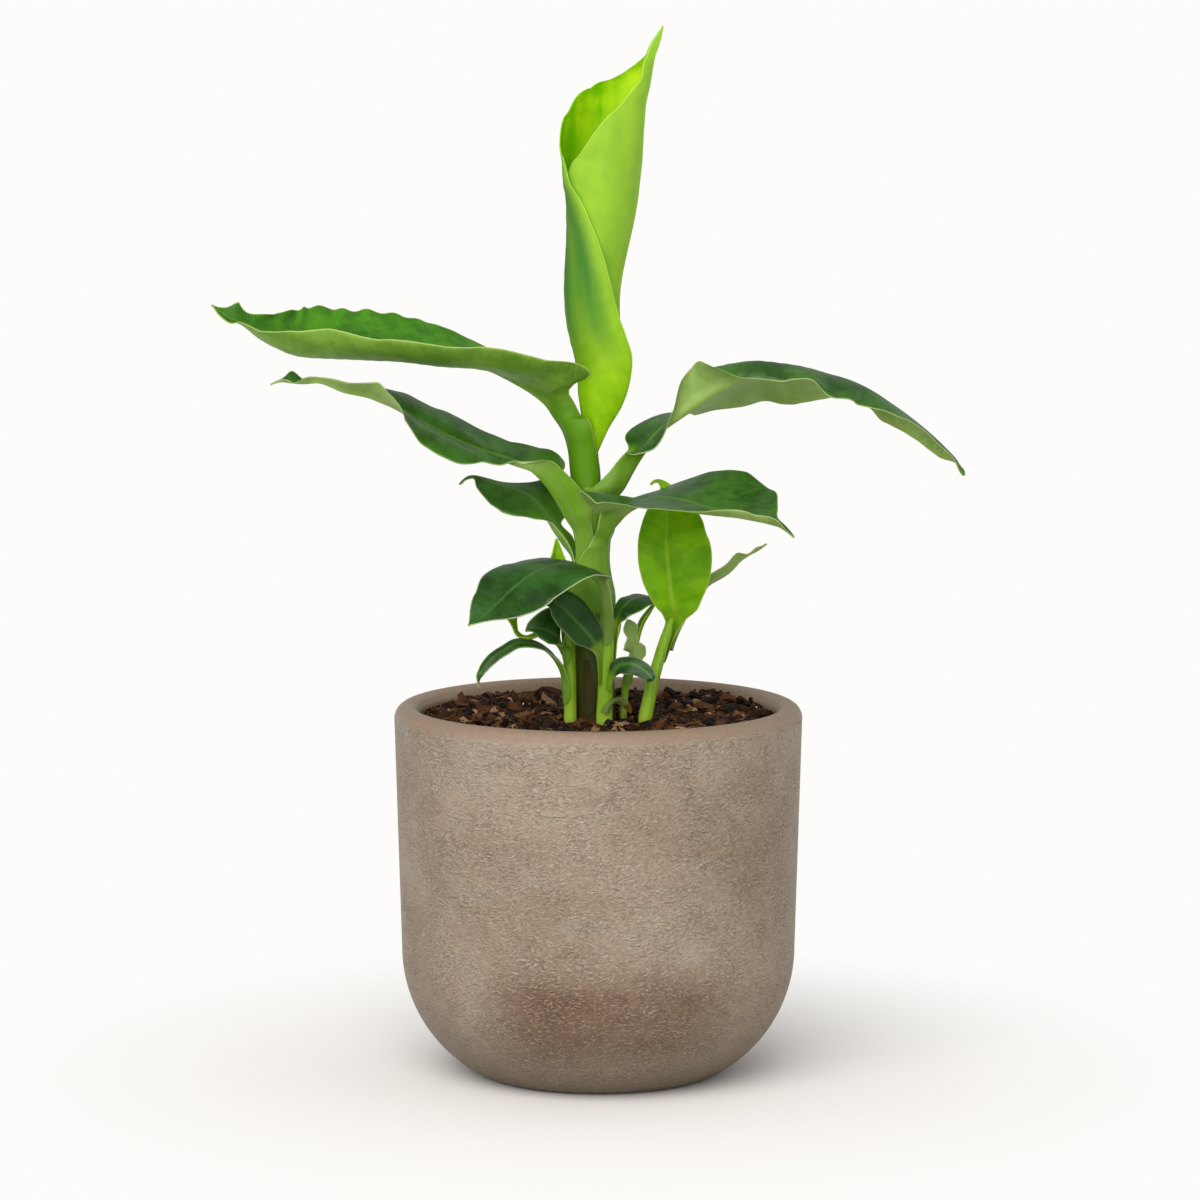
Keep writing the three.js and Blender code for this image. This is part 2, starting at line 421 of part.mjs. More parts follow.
  },
};

// Looks: colour, roughness
const TAUPE = ["#b2a698", 0.75];
const SOIL_BROWN = ["#3a2617", 0.95];
const STEM_GREEN = ["#8fae3c", 0.45];
const LEAF_GREEN = ["#3f7a3c", 0.38];
const DARK_GREEN = ["#2f6234", 0.35];
const FRESH_GREEN = ["#86b82a", 0.4];
const DRIED_BROWN = ["#8a6a3c", 0.7];
const LEAF_LOOKS = {
  unfurling_leaf: FRESH_GREEN,
  right_large_leaf: FRESH_GREEN,
  left_upright_leaf: FRESH_GREEN,
  left_small_leaf: FRESH_GREEN,
  small_rolled_leaf: FRESH_GREEN,
  upper_left_leaf: LEAF_GREEN,
  right_thin_leaf: LEAF_GREEN,
  dried_sheath: DRIED_BROWN,
};

function material([colour, roughness]) {
  return new THREE.MeshStandardMaterial({ color: colour, roughness, metalness: 0 });
}

// Closed skin over a grid of rings: rings[i][j] is a Vector3, and the last ring point joins the first
function skinOfRings(rings) {
  const sides = rings[0].length;
  const positions = rings.flat().flatMap((point) => [point.x, point.y, point.z]);
  const triangles = [];
  for (let i = 0; i + 1 < rings.length; i += 1) {
    for (let j = 0; j < sides; j += 1) {
      const a = i * sides + j;
      const b = i * sides + ((j + 1) % sides);
      triangles.push(a, b, b + sides, a, b + sides, a + sides);
    }
  }
  const last = (rings.length - 1) * sides;
  for (let j = 1; j + 1 < sides; j += 1) {
    triangles.push(0, j + 1, j, last, last + j, last + j + 1);
  }
  const geometry = new THREE.BufferGeometry();
  geometry.setAttribute("position", new THREE.Float32BufferAttribute(positions, 3));
  geometry.setIndex(triangles);
  return geometry;
}

// Closed skin over two sheets with the same cells, so both faces are split alike
function skinOfSheets(top, bottom) {
  const rows = top.length;
  const columns = top[0].length;
  const positions = [...top.flat(), ...bottom.flat()].flatMap((point) => [point.x, point.y, point.z]);
  const offset = rows * columns;
  const at = (i, j) => i * columns + j;
  const triangles = [];
  for (let i = 0; i + 1 < rows; i += 1) {
    for (let j = 0; j + 1 < columns; j += 1) {
      const [a, b, c, d] = [at(i, j), at(i, j + 1), at(i + 1, j + 1), at(i + 1, j)];
      triangles.push(a, b, c, a, c, d);
      triangles.push(a + offset, c + offset, b + offset, a + offset, d + offset, c + offset);
    }
  }
  const wall = (p, q) => triangles.push(p, q, q + offset, p, q + offset, p + offset);
  for (let i = 0; i + 1 < rows; i += 1) {
    wall(at(i, 0), at(i + 1, 0));
    wall(at(i + 1, columns - 1), at(i, columns - 1));
  }
  for (let j = 0; j + 1 < columns; j += 1) {
    wall(at(0, j + 1), at(0, j));
    wall(at(rows - 1, j), at(rows - 1, j + 1));
  }
  const geometry = new THREE.BufferGeometry();
  geometry.setAttribute("position", new THREE.Float32BufferAttribute(positions, 3));
  geometry.setIndex(triangles);
  return geometry;
}

function toSolid(geometry) {
  const bare = geometry.clone();
  bare.deleteAttribute("normal");
  bare.deleteAttribute("uv");
  const merged = mergeVertices(bare, WELD_DISTANCE);
  return new wasm.Manifold(new wasm.Mesh({
    numProp: 3,
    vertProperties: new Float32Array(merged.attributes.position.array),
    triVerts: new Uint32Array(merged.index.array),
  }));
}

function fromSolid(solid) {
  const mesh = solid.getMesh();
  const geometry = new THREE.BufferGeometry();
  geometry.setAttribute("position", new THREE.BufferAttribute(new Float32Array(mesh.vertProperties), 3));
  geometry.setIndex(new THREE.BufferAttribute(new Uint32Array(mesh.triVerts), 1));
  return geometry;
}

// Repeatable random numbers from 0 to 1
function seededRandom(seed) {
  let state = seed;
  return () => {
    state = (state * RANDOM_FACTOR + RANDOM_STEP) % RANDOM_RANGE;
    return state / RANDOM_RANGE;
  };
}

function between(random, [low, high]) {
  return low + (high - low) * random();
}

// Outer radius of the pot at a height
function potRadius(z) {
  if (z >= POT_SHOULDER_HEIGHT) {
    const rise = (z - POT_SHOULDER_HEIGHT) / (POT_HEIGHT - POT_SHOULDER_HEIGHT);
    return POT_SHOULDER_RADIUS + (POT_RIM_RADIUS - POT_SHOULDER_RADIUS) * rise;
  }
  const depth = (POT_SHOULDER_HEIGHT - z) / POT_BELLY_HEIGHT;
  return POT_SHOULDER_RADIUS - POT_BELLY_DEPTH + POT_BELLY_DEPTH * Math.sqrt(1 - depth * depth);
}

// Inner radius at a height: the wall is as thick all the way
function potInnerRadius(z) {
  return potRadius(z) - POT_WALL;
}

function lathe(profile, sides) {
  const points = profile.map(([radius, z]) => new THREE.Vector2(radius, z));
  const geometry = new THREE.LatheGeometry(points, sides);
  geometry.rotateX(Math.PI / 2);
  return geometry;
}

function makePot() {
  const profile = [[0, 0], [potRadius(0), 0]];
  for (const z of POT_OUTSIDE_HEIGHTS) {
    profile.push([potRadius(z), z]);
  }
  const lipCentre = POT_HEIGHT - POT_LIP_RADIUS;
  const middle = (potRadius(lipCentre) + potInnerRadius(lipCentre)) / 2;
  for (let step = 0; step <= LIP_STEPS; step += 1) {
    const angle = (step / LIP_STEPS) * Math.PI;
    const radius = middle + (POT_WALL / 2) * Math.cos(angle);
    profile.push([radius, lipCentre + POT_LIP_RADIUS * Math.sin(angle)]);
  }
  for (const z of POT_INSIDE_HEIGHTS) {
    profile.push([potInnerRadius(z), z]);
  }
  profile.push([0, POT_FLOOR]);
  return lathe(profile, POT_SIDES);
}

function soilHeight(radius) {
  return SOIL_MIDDLE_HEIGHT + SOIL_DISH_RISE * (radius / SOIL_DISH_RADIUS) ** 2;
}

// One flat chip of bark, tilted in the surface
function makeChip(random) {
  const angle = between(random, [0, 2 * Math.PI]);
  const reach = between(() => Math.sqrt(random()), CHIP_REACH);
  const length = between(random, CHIP_LENGTH);
  const width = between(random, CHIP_WIDTH);
  const chip = new THREE.BoxGeometry(length, width, between(random, CHIP_THICKNESS));
  chip.rotateX(between(random, [-CHIP_TILT, CHIP_TILT]));
  chip.rotateY(between(random, [-CHIP_TILT, CHIP_TILT]));
  chip.rotateZ(between(random, [0, Math.PI]));
  const x = reach * Math.cos(angle);
  const y = reach * Math.sin(angle);
  chip.translate(x, y, soilHeight(reach) + CHIP_LIFT);
  const clear = Object.values(STEMS).every(([[stemX, stemY, , stemRadius]]) =>
    Math.hypot(x - stemX, y - stemY) > stemRadius + CHIP_STEM_CLEARANCE);
  return clear ? chip : null;
}

function makeSoil() {
  const wall = (z) => potInnerRadius(z) - SOIL_WALL_GAP;
  const bottom = POT_FLOOR + SOIL_FLOOR_GAP;
  const profile = [[0, bottom], [wall(bottom), bottom]];
  for (const z of SOIL_WALL_HEIGHTS) {
    profile.push([wall(z), z]);
  }
  const edge = soilHeight(SOIL_DISH_RADIUS);
  profile.push([wall(edge), edge]);
  for (const radius of SOIL_DISH_STEPS) {
    profile.push([radius, soilHeight(radius)]);
  }
  profile.push([0, SOIL_MIDDLE_HEIGHT]);
  let solid = toSolid(lathe(profile, POT_SIDES));
  const random = seededRandom(CHIP_SEED);
  for (let count = 0; count < CHIP_COUNT; count += 1) {
    const chip = makeChip(random);
    if (chip) {
      solid = solid.add(toSolid(chip));
    }
  }
  for (const rows of Object.values(STEMS)) {
    const hole = rows.slice(0, 3).map(([x, y, z, radius], index) =>
      [x, y, index === 0 ? z - STEM_HOLE_GAP : z, radius + STEM_HOLE_GAP]);
    solid = solid.subtract(toSolid(stemSkin(hole)));
  }
  return fromSolid(solid);
}

function stemSkin(rows) {
  const rings = rows.map(([x, y, z, radius]) => {
    const ring = [];
    for (let side = 0; side < STEM_SIDES; side += 1) {
      const angle = (side / STEM_SIDES) * 2 * Math.PI;
      ring.push(new THREE.Vector3(x + radius * Math.cos(angle), y + radius * Math.sin(angle), z));
    }
    return ring;
  });
  return skinOfRings(rings);
}

// Axis and radius of a stem at a height
function stemAt(name, z) {
  const rows = STEMS[name];
  const next = rows.findIndex((row) => row[2] >= z);
  if (next < 1) {
    return rows.at(-1);
  }
  const [low, high] = [rows[next - 1], rows[next]];
  const part = (z - low[2]) / (high[2] - low[2]);
  return low.map((value, index) => value + (high[index] - value) * part);
}

// Sheath rows as blade rows that wrap round the stem
function sheathRows(leaf) {
  return (leaf.sheath ?? []).map(([z, left, right, extra, side = leaf.azimuth]) => {
    const [x, y, , radius] = stemAt(leaf.stem, z);
    const reach = radius + SHEATH_GAP + SHEATH_LAYER * ((leaf.layer ?? 1) - 1) + extra;
    const angle = side * DEGREE;
    return [
      x + reach * Math.cos(angle), y + reach * Math.sin(angle), z, side - leaf.azimuth, SHEATH_THICKNESS,
      [reach * left * DEGREE, 0, left], [reach * right * DEGREE, 0, right],
    ];
  });
}

// Cubic curve through values at given places, read at one place, from a slope at each value
function hermite(places, values, slopes, place) {
  let i = places.findIndex((other) => other > place) - 1;
  i = i < 0 ? places.length - 2 : i;
  const width = places[i + 1] - places[i];
  const t = (place - places[i]) / width;
  return (1 + 2 * t) * (1 - t) ** 2 * values[i] + t * (1 - t) ** 2 * width * slopes[i]
    + t * t * (3 - 2 * t) * values[i + 1] + t * t * (t - 1) * width * slopes[i + 1];
}

// Slopes for a smooth curve: three-point slopes for the spine
function smoothSlopes(places, values) {
  const step = places.slice(1).map((place, i) => place - places[i]);
  const rise = step.map((width, i) => (values[i + 1] - values[i]) / width);
  const slopes = values.map((_, i) => (i > 0 && i < rise.length
    ? (step[i] * rise[i - 1] + step[i - 1] * rise[i]) / (step[i] + step[i - 1]) : 0));
  slopes[0] = 2 * rise[0] - slopes[1];
  slopes[values.length - 1] = 2 * rise.at(-1) - slopes[values.length - 2];
  return slopes;
}

// Slopes that never overshoot: harmonic means for widths and angles
function steadySlopes(places, values) {
  const step = places.slice(1).map((place, i) => place - places[i]);
  const rise = step.map((width, i) => (values[i + 1] - values[i]) / width);
  return values.map((_, i) => {
    if (i === 0 || i === rise.length) {
      return i === 0 ? rise[0] : rise.at(-1);
    }
    if (rise[i - 1] * rise[i] <= 0) {
      return 0;
    }
    const before = 2 * step[i] + step[i - 1];
    const after = step[i] + 2 * step[i - 1];
    return (before + after) / (before / rise[i - 1] + after / rise[i]);
  });
}

// Point at a share v of the way across a half blade, and the slope there
function acrossPoint([width, first, last, , easing], v) {
  const start = first * DEGREE;
  const turn = (last - first) * DEGREE;
  let out = 0;
  let up = 0;
  for (let step = 0; step < ARC_STEPS; step += 1) {
    const t = ((step + 0.5) / ARC_STEPS) * v;
    const slope = start + turn * (t + easing * t * (1 - t));
    out += Math.cos(slope) / ARC_STEPS;
    up += Math.sin(slope) / ARC_STEPS;
  }
  return [width * v * out, width * v * up, start + turn * (v + easing * v * (1 - v))];
}

// Ripple of a blade margin
function ripple(wave, along, v) {
  if (!wave) {
    return 0;
  }
  const [height, count, phase, start] = wave;
  const fade = THREE.MathUtils.clamp((along - start) / RIPPLE_FADE_IN, 0, 1)
    * THREE.MathUtils.clamp((1 - along) / RIPPLE_FADE_OUT, 0, 1);
  return height * v * v * fade * Math.sin(2 * Math.PI * (count * along + phase));
}

// Leaf: two half blades swept along the spine, thicker at the midrib
function makeLeaf(leaf) {
  const sheath = sheathRows(leaf);
  const rows = [...sheath, ...leaf.rows];
  const half = (values) => [...values, 0, 0].slice(0, 5);
  const table = rows.map(([x, y, z, roll, rib, left, right], row) =>
    [x, y, z, roll, rib, row < sheath.length ? 0 : leaf.lean ?? 1, ...half(left), ...half(right)]);
  const places = [0];
  for (let i = 1; i < rows.length; i += 1) {
    places.push(places[i - 1] + Math.hypot(...[0, 1, 2].map((k) => table[i][k] - table[i - 1][k])));
  }
  const columns = table[0].map((_, k) => table.map((row) => row[k]));
  const slopes = columns.map((values, k) =>
    (k < 3 ? smoothSlopes(places, values) : steadySlopes(places, values)));
  const total = places.at(-1);
  const nudge = total * TANGENT_STEP;
  const read = (k, place) => hermite(places, columns[k], slopes[k], place);
  const spine = (place) => new THREE.Vector3(read(0, place), read(1, place), read(2, place));
  const azimuth = leaf.azimuth * DEGREE;

  const top = [];
  const bottom = [];
  for (let i = 0; i + 1 < places.length; i += 1) {
    const last = i + 2 === places.length;
    for (let step = 0; step < leaf.steps + (last ? 1 : 0); step += 1) {
      const place = places[i] + ((places[i + 1] - places[i]) * step) / leaf.steps;
      const centre = spine(place);
      const ahead = spine(Math.min(total, place + nudge));
      const tangent = ahead.sub(spine(Math.max(0, place - nudge))).normalize();
      const lean = new THREE.Vector3(-Math.cos(azimuth), -Math.sin(azimuth), read(5, place));
      const normal = lean.clone().addScaledVector(tangent, -tangent.dot(lean)).normalize();
      normal.applyAxisAngle(tangent, read(3, place) * DEGREE);
      const sideways = tangent.clone().cross(normal);
      const rib = read(4, place);
      const halfBlade = (side, v) => {
        const first = side < 0 ? 6 : 11;
        const values = [0, 1, 2, 3, 4].map((k) => read(first + k, place));
        const [out, up, slope] = acrossPoint(values, v);
        const up3 = normal.clone().multiplyScalar(Math.cos(slope))
          .addScaledVector(sideways, -side * Math.sin(slope));
        const point = centre.clone()
          .addScaledVector(sideways, side * out)
          .addScaledVector(normal, up)
          .addScaledVector(tangent, values[3] * v * v)
          .addScaledVector(up3, ripple(leaf.wave?.[side < 0 ? "left" : "right"], place / total, v));
        const ribShare = Math.exp(-(((values[0] * v) / (RIB_SPREAD * rib + RIB_EDGE)) ** 2));
        const thickness = leaf.thickness + Math.max(0, rib - leaf.thickness) * ribShare;
        return [point, point.clone().addScaledVector(up3, -thickness)];
      };
      const cells = [
        ...leaf.across.toReversed().map((v) => halfBlade(-1, v)),
        ...leaf.across.slice(1).map((v) => halfBlade(1, v)),
      ];
      top.push(cells.map(([point]) => point));
      bottom.push(cells.map(([, point]) => point));
    }
  }
  return skinOfSheets(top, bottom);
}

function named(name, geometry, look) {
  const mesh = new THREE.Mesh(geometry, material(look));
  mesh.name = name;
  return mesh;
}

const plant = new THREE.Group();
plant.add(named("pot", makePot(), TAUPE));
plant.add(named("soil", makeSoil(), SOIL_BROWN));
for (const [name, rows] of Object.entries(STEMS)) {
  plant.add(named(name, stemSkin(rows), STEM_GREEN));
}
for (const [name, leaf] of Object.entries(LEAVES)) {
  plant.add(named(name, makeLeaf(leaf), LEAF_LOOKS[name] ?? DARK_GREEN));
}

export default plant;
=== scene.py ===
"""A potted young banana plant, dressed for the render: fine leaves, stems, bark mix and pot.

Shapes are worked out in millimetres and stored in metres. +Z is up, the pot stands on z = 0 with
its axis on the Z axis, and the photograph looks from -Y.
"""
import math

import bpy
import numpy as np
from mathutils import Euler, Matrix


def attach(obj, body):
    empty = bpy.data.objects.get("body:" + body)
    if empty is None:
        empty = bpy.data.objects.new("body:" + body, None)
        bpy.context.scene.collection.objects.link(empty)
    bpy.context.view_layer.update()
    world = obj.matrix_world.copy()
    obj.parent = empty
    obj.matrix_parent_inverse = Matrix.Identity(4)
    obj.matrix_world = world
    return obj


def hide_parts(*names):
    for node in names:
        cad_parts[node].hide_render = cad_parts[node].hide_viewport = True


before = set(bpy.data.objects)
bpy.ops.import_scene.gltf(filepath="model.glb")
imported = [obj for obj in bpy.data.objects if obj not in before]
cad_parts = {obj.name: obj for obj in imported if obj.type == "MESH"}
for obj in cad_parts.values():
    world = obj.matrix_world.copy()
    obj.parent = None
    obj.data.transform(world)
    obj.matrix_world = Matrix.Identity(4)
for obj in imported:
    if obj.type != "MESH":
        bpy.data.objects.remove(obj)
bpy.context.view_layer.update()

MM = 0.001
MAP_UNIT = 100.0
FULL_TURN = 2.0 * math.pi
BODY = "root"

# Camera, as the photograph was taken
CAMERA_PLACE = (0.8, -2238.0, 500.0)
CAMERA_PITCH_DOWN = 7.03
CAMERA_LENS = 144.0
CAMERA_SENSOR = 36.0
CAMERA_REACH = 20.0

# Pot
POT_HEIGHT = 175.0
POT_RIM_RADIUS = 96.2
POT_SHOULDER_RADIUS = 92.9
POT_SHOULDER_HEIGHT = 59.0
POT_BELLY_DEPTH = 65.0
POT_BELLY_HEIGHT = 65.6
POT_LIP_RADIUS = 6.3
POT_WALL = 12.4
POT_FLOOR = 14.0
POT_SIDES = 240
POT_FOOT_ROUNDING = 2.0
POT_BELLY_STEPS = 42
POT_LIP_STEPS = 22
POT_WALL_STEPS = 40

# Bark mix: heaps are rise, x, y, width and depth
SOIL_MIDDLE_HEIGHT = 166.8
SOIL_DISH_RISE = 2.7
SOIL_DISH_RADIUS = 80.0
SOIL_SINK = 0.6
SOIL_HEAPS = ((2.2, -42, 40, 22, 20), (3.4, 52, 38, 20, 18), (1.2, -60, -12, 16, 16))
SOIL_WALL_GAP = 0.3
SOIL_WALL_HEIGHTS = (15.0, 30.0, 45.0, POT_SHOULDER_HEIGHT, 90.0, 120.0, 150.0)
SOIL_SIDES = 180
SOIL_RINGS = 70
SOIL_SEED = 5
CHIP_COUNT = 1050
CRUMB_COUNT = 2600
FIBRE_COUNT = 700
FIBRE_STEPS = 6
SPECK_COUNT = 70

# Stems and leaves
STEM_SIDES = 56
STEM_STEP = 1.5
STEM_TOP_TAPER = 9.0
SHEATH_GAP = 0.5
SHEATH_LAYER = 1.45
SHEATH_THICKNESS = 0.9
SHEATH_TONGUE = 7.0
BLADE_THICKNESS = 0.45
MARGIN_BULGE = 0.35
ALONG_STEP = 1.6
ACROSS_STEP = 2.0
BEND_STEPS = 16
RUFFLE = 0.22
PLEAT = 0.06
DRY_TIP = (0.985, 0.2)
DRY_COLOUR = "#7a5a28"
LEAF_SEED = 3
TIP = [0, 0.8, [0.5]]

# Light
BACKDROP = (0.982, 0.974, 0.957, 1.0)
DOME_COLOUR = (1.0, 0.995, 0.985, 1.0)
DOME_STRENGTH = 0.5
LIGHT_TARGET = (0.0, 0.0, 0.22)
# Lamps: place, size in metres, power and colour
LIGHTS = {
    "key": ((-0.75, -2.2, 1.9), (2.6, 2.6), 84.0, (1.0, 0.985, 0.96)),
    "front": ((0.5, -2.6, 0.7), (1.6, 1.2), 10.0, (1.0, 1.0, 1.0)),
    "side": ((1.7, 1.1, 1.1), (0.9, 0.9), 2.0, (1.0, 1.0, 0.98)),
}
FLOOR_COLOUR = (0.89, 0.86, 0.84, 1.0)
FLOOR_BLEND = (0.05, 0.32)
FLOOR_REACH = 12.0
FLOOR_STEPS = 24
FLOOR_SINK = 0.0005

# Leaf skins: main, deep, rib, margin and stalk colours, and what differs from a plain leaf
GLOSSY = {"through": 0.12, "vein": 0.04, "gloss": 0.36}
DULL = {"roughness": 0.5, "through": 0.2, "vein": 0.06, "gloss": 0.2}
DRY = {"roughness": 0.7, "through": 0.05, "vein": 0.1, "gloss": 0.15}
LEAF_SKINS = {
    "leaf_dark_upper": ("#407026", "#1c4410", "#74a040", "#b4cc7c", "#629a02",
                        {**GLOSSY, "through": 0.2, "lit": "#9cc860"}),
    # leaf_lit_under is a lighter copy of leaf_dark_under: painted light on the downward-facing undersides
    # of the dark leaves.
    "leaf_lit_under": ("#a2be68", "#8aaa52", "#a8c462", "#c8d890", "#6ea40c",
                       {"roughness": 0.45, "through": 0.34, "vein": 0.06, "gloss": 0.25, "lit": "#c4e088"}),
    "leaf_dark_under": ("#92ae5e", "#7a9a48", "#98b458", "#c8d890", "#629a02", DULL),
    "leaf_offshoot_upper": ("#30601e", "#18380c", "#5c8c34", "#b4cc7c", "#8fb31a", GLOSSY),
    "leaf_greyed_upper": ("#30601e", "#18380c", "#5c8c34", "#c4d098", "#6c8c34", GLOSSY),
    "leaf_greyed_under": ("#92ae5e", "#7a9a48", "#98b458", "#c8d890", "#6c8c34", DULL),
    "leaf_deep_upper": ("#1f4d08", "#123004", "#4f8a24", "#b4cc7c", "#7fa814",
                        {"through": 0.1, "vein": 0.04, "margin_share": 0.3}),
    "leaf_middle_upper": ("#4c9210", "#2c680a", "#8cb038", "#c8d470", "#629a02",
                          {"through": 0.2, "vein": 0.1}),
    "leaf_middle_under": ("#86b040", "#628f25", "#98bc54", "#d4e08c", "#629a02",
                          {"roughness": 0.48, "through": 0.28, "vein": 0.16, "gloss": 0.25}),
    "leaf_fresh_upper": ("#86be08", "#5f9c04", "#a8c83c", "#c8dc60", "#84ae1c",
                         {"roughness": 0.42, "through": 0.3, "vein": 0.04, "gloss": 0.1}),
    "leaf_fresh_under": ("#98c824", "#80b014", "#b0d048", "#c8dc60", "#84ae1c",
                         {"roughness": 0.5, "through": 0.3, "vein": 0.04, "gloss": 0.08}),
    # funnel_inside is bright lime: partly the young leaf's own upper face, partly painted light for light
    # that comes through the rolled leaf into its mouth.
    "funnel_inside": ("#d8f420", "#86d200", "#a8d030", "#d0e46c", "#84ae1c",
                      {"roughness": 0.42, "through": 0.55, "vein": 0.03, "relief": 0.1, "lit": "#d0ff30",
                       "grain": 0.9}),
    # The #3f7e34 of funnel_outside is the darker green of the painted shade on the unfurling leaf.
    "funnel_outside": ("#acd820", "#8cc408", "#b0d44c", "#dcec88", "#84ae1c",
                       {"roughness": 0.5, "through": 0.4, "vein": 0.0, "gloss": 0.12, "painted_shade_band": "#3f7e34",
                        "relief": 0.08, "lit": "#e8ff60", "grain": 0.35, "bloom": "#a2c256"}),
    "dried_upper": ("#4c4018", "#2a2a0c", "#4c4018", "#5a4c28", "#3c3a12", DRY),
    "dried_under": ("#443812", "#2a2a0c", "#443812", "#5a4c28", "#3c3a12", DRY),
}

# Kinds of leaf: the record's slot, the upper skin and the lower skin
LEAF_KINDS = {
    "dark": ("leaf", "leaf_dark_upper", "leaf_lit_under"),
    "offshoot": ("leaf", "leaf_offshoot_upper", "leaf_dark_under"),
    "greyed": ("leaf", "leaf_greyed_upper", "leaf_greyed_under"),
    "deep": ("leaf", "leaf_deep_upper", "leaf_dark_under"),
    "pale": ("leaf", "leaf_dark_under", "leaf_dark_under"),
    "middle": ("leaf", "leaf_middle_upper", "leaf_middle_under"),
    "fresh": ("fresh_leaf", "leaf_fresh_upper", "leaf_fresh_under"),
    "funnel": ("fresh_leaf", "funnel_inside", "funnel_outside"),
    "dried": ("dried_leaf", "dried_upper", "dried_under"),
}

# Stems: each row is x, y, z and the radius, in mm
STEMS = {
    "main_stem": [
        [-1.5, 0, 158, 9.9], [-1.6, 0, 172, 9.8], [-2.4, 0, 205, 9.4], [-3, 0, 229.5, 9.3],
        [-3.1, 0, 230.3, 5], [-3.5, 0, 247, 5], [-4.3, 0, 262, 5], [-5.8, 0, 290, 5],
    ],
    "front_shoot_stem": [
        [2.7, -15.2, 158, 4], [2.8, -15.2, 172, 3.8], [3.6, -15.6, 190, 3.5], [4, -16, 205, 3.5],
        [4.2, -16, 214, 3.3],
    ],
    "left_shoot_stem": [
        [-13.2, -7.4, 158, 3], [-13.1, -7.4, 172, 3], [-13.2, -7.3, 190, 3], [-13.6, -7.2, 200, 3],
        [-13.8, -7, 212, 2.9],
    ],
    "right_shoot_stem": [
        [21.8, -6, 158, 3.6], [22.2, -6, 170, 3.4], [25.5, -5.6, 186, 3], [30, -5, 202, 2.7],
        [34.5, -4, 216, 2.4],
    ],
    "small_shoot_stem": [
        [11.6, 1, 158, 1.6], [11.8, 1, 170, 1.6], [13, 1, 186, 1.8], [16, 1, 198, 1.4],
        [17.5, 1, 206, 1.2],
    ],
}

# Leaves, in mm. A sheath row is z, the wrap to the left and to the right in degrees, an extra
# radius, and the side of the stem it lies on in degrees, or else the side the leaf leaves by.
# A blade row is x, y, z, roll, rib thickness, and then the left and right half of the blade, or
# one for both: [width, first slope, last slope, sweep along the leaf, easing of the bend], with
# zeros left off at the end. A row of only x, y, z is a pointed tip. azimuth is the side that the
# leaf leaves its stem by, in degrees, layer is its place among the stem's sheaths, and a larger
# lean turns the upper side more to the sky. stalk holds the rows between which stalk turns into
# blade. painted_shade_band holds the shares of the length where a darker green stripe of painted
# shade on the left half starts, is full, starts to fade and is gone. wave is the height, count,
# phase and start of the waves in the right half. dry is where the dry tip starts and how dry it
# gets, and ruffle is the height of the fine ruffles.
LEAVES = {}
# The unfurling leaf has a stripe of painted shade on its left half.
LEAVES["unfurling_leaf"] = dict(stem="main_stem", azimuth=0, kind="funnel", ruffle=0.04,
    stalk=(0, 1), painted_shade_band=(0.14, 0.38, 0.48, 0.9), rows=[
    [-2.5, 0, 294, 0, 1.6, [18, 0, 303, 0, 0.5], [8, 0, 280, 0, 0.3]],
    [1, 0, 305.5, 0, 2, [30, 0, 305, 0, 0.5], [14, 0, 280, 0, 0.3]],
    [5, 0, 318.5, 0, 2, [51, 0, 310, 0, 0.5], [23, 0, 285, 0, 0.3]],
    [7.5, 0, 328, 0, 2, [60, 0, 306, 0, 0.5], [30, 0, 290, 0, 0.3]],
    [9, 0, 338.5, 0, 2, [67, 0, 300, 0, 0.5], [35, 0, 290, 0, 0.3]],
    [9, 0, 348, 0, 1.9, [69.5, 0, 294, 0, 0.45], [39, 0, 290, 0, 0.3]],
    [8.3, 0, 359, 0, 1.8, [70, 0, 290, 0, 0.38], [44, 0, 285, 0, 0.3]],
    [8.8, 0, 370.5, 0, 1.7, [69, 0, 289, 0, 0.26], [50, 0, 275, 0, 0.2]],
    [10, 0, 378.5, 0, 1.7, [68, 0, 285, 0, 0.17], [51, 0, 260, 0, 0.1]],
    [12, 0, 387.5, 0, 1.6, [67, 0, 275, 0, 0.07], [51, 0, 235]],
    [14.8, 0, 400, 0, 1.6, [66, 0, 252], [50, 0, 205]],
    [17, 0, 411.5, 0, 1.5, [65, 0, 227], [48, 0, 178]],
    [18, 0, 420.5, 0, 1.5, [63, 0, 209], [45, 0, 156]],
    [19, 0, 428.5, 0, 1.4, [61.5, 0, 195], [40, 0, 136]],
    [19.5, 0, 436.5, 0, 1.4, [60, 0, 185], [35, 0, 112]],
    [20, 0, 444, 0, 1.3, [58, 0, 180, -2], [30, 0, 98]],
    [20.5, 0, 450, 0, 1.3, [53.5, 0, 170, -3], [25, 0, 85]],
    [21, 0, 455.5, 0, 1.2, [46.5, 0, 158, -4], [19, 0, 69]],
    [22.5, 0, 462.5, 0, 1.2, [35, 0, 135, -5], [13.5, 0, 55]],
    [23.5, 0, 467, 0, 1.1, [29, 0, 120, -5], [10.5, 0, 45]],
    [24.5, 0, 473, 0, 1, [16, 0, 85, -3], [9.5, 0, 52]],
    [25.5, 0, 477.5, 0, 1, [4.5, 30, 80], [4, 30, 75]],
    [28, 0, 483.5, 0, 0.9, [3.6, 60, 90], [3.4, 60, 90]], [29, 0, 488.5, 0, 0.9, [1.6, 40, 90]],
    [29.5, 0, 492],
])
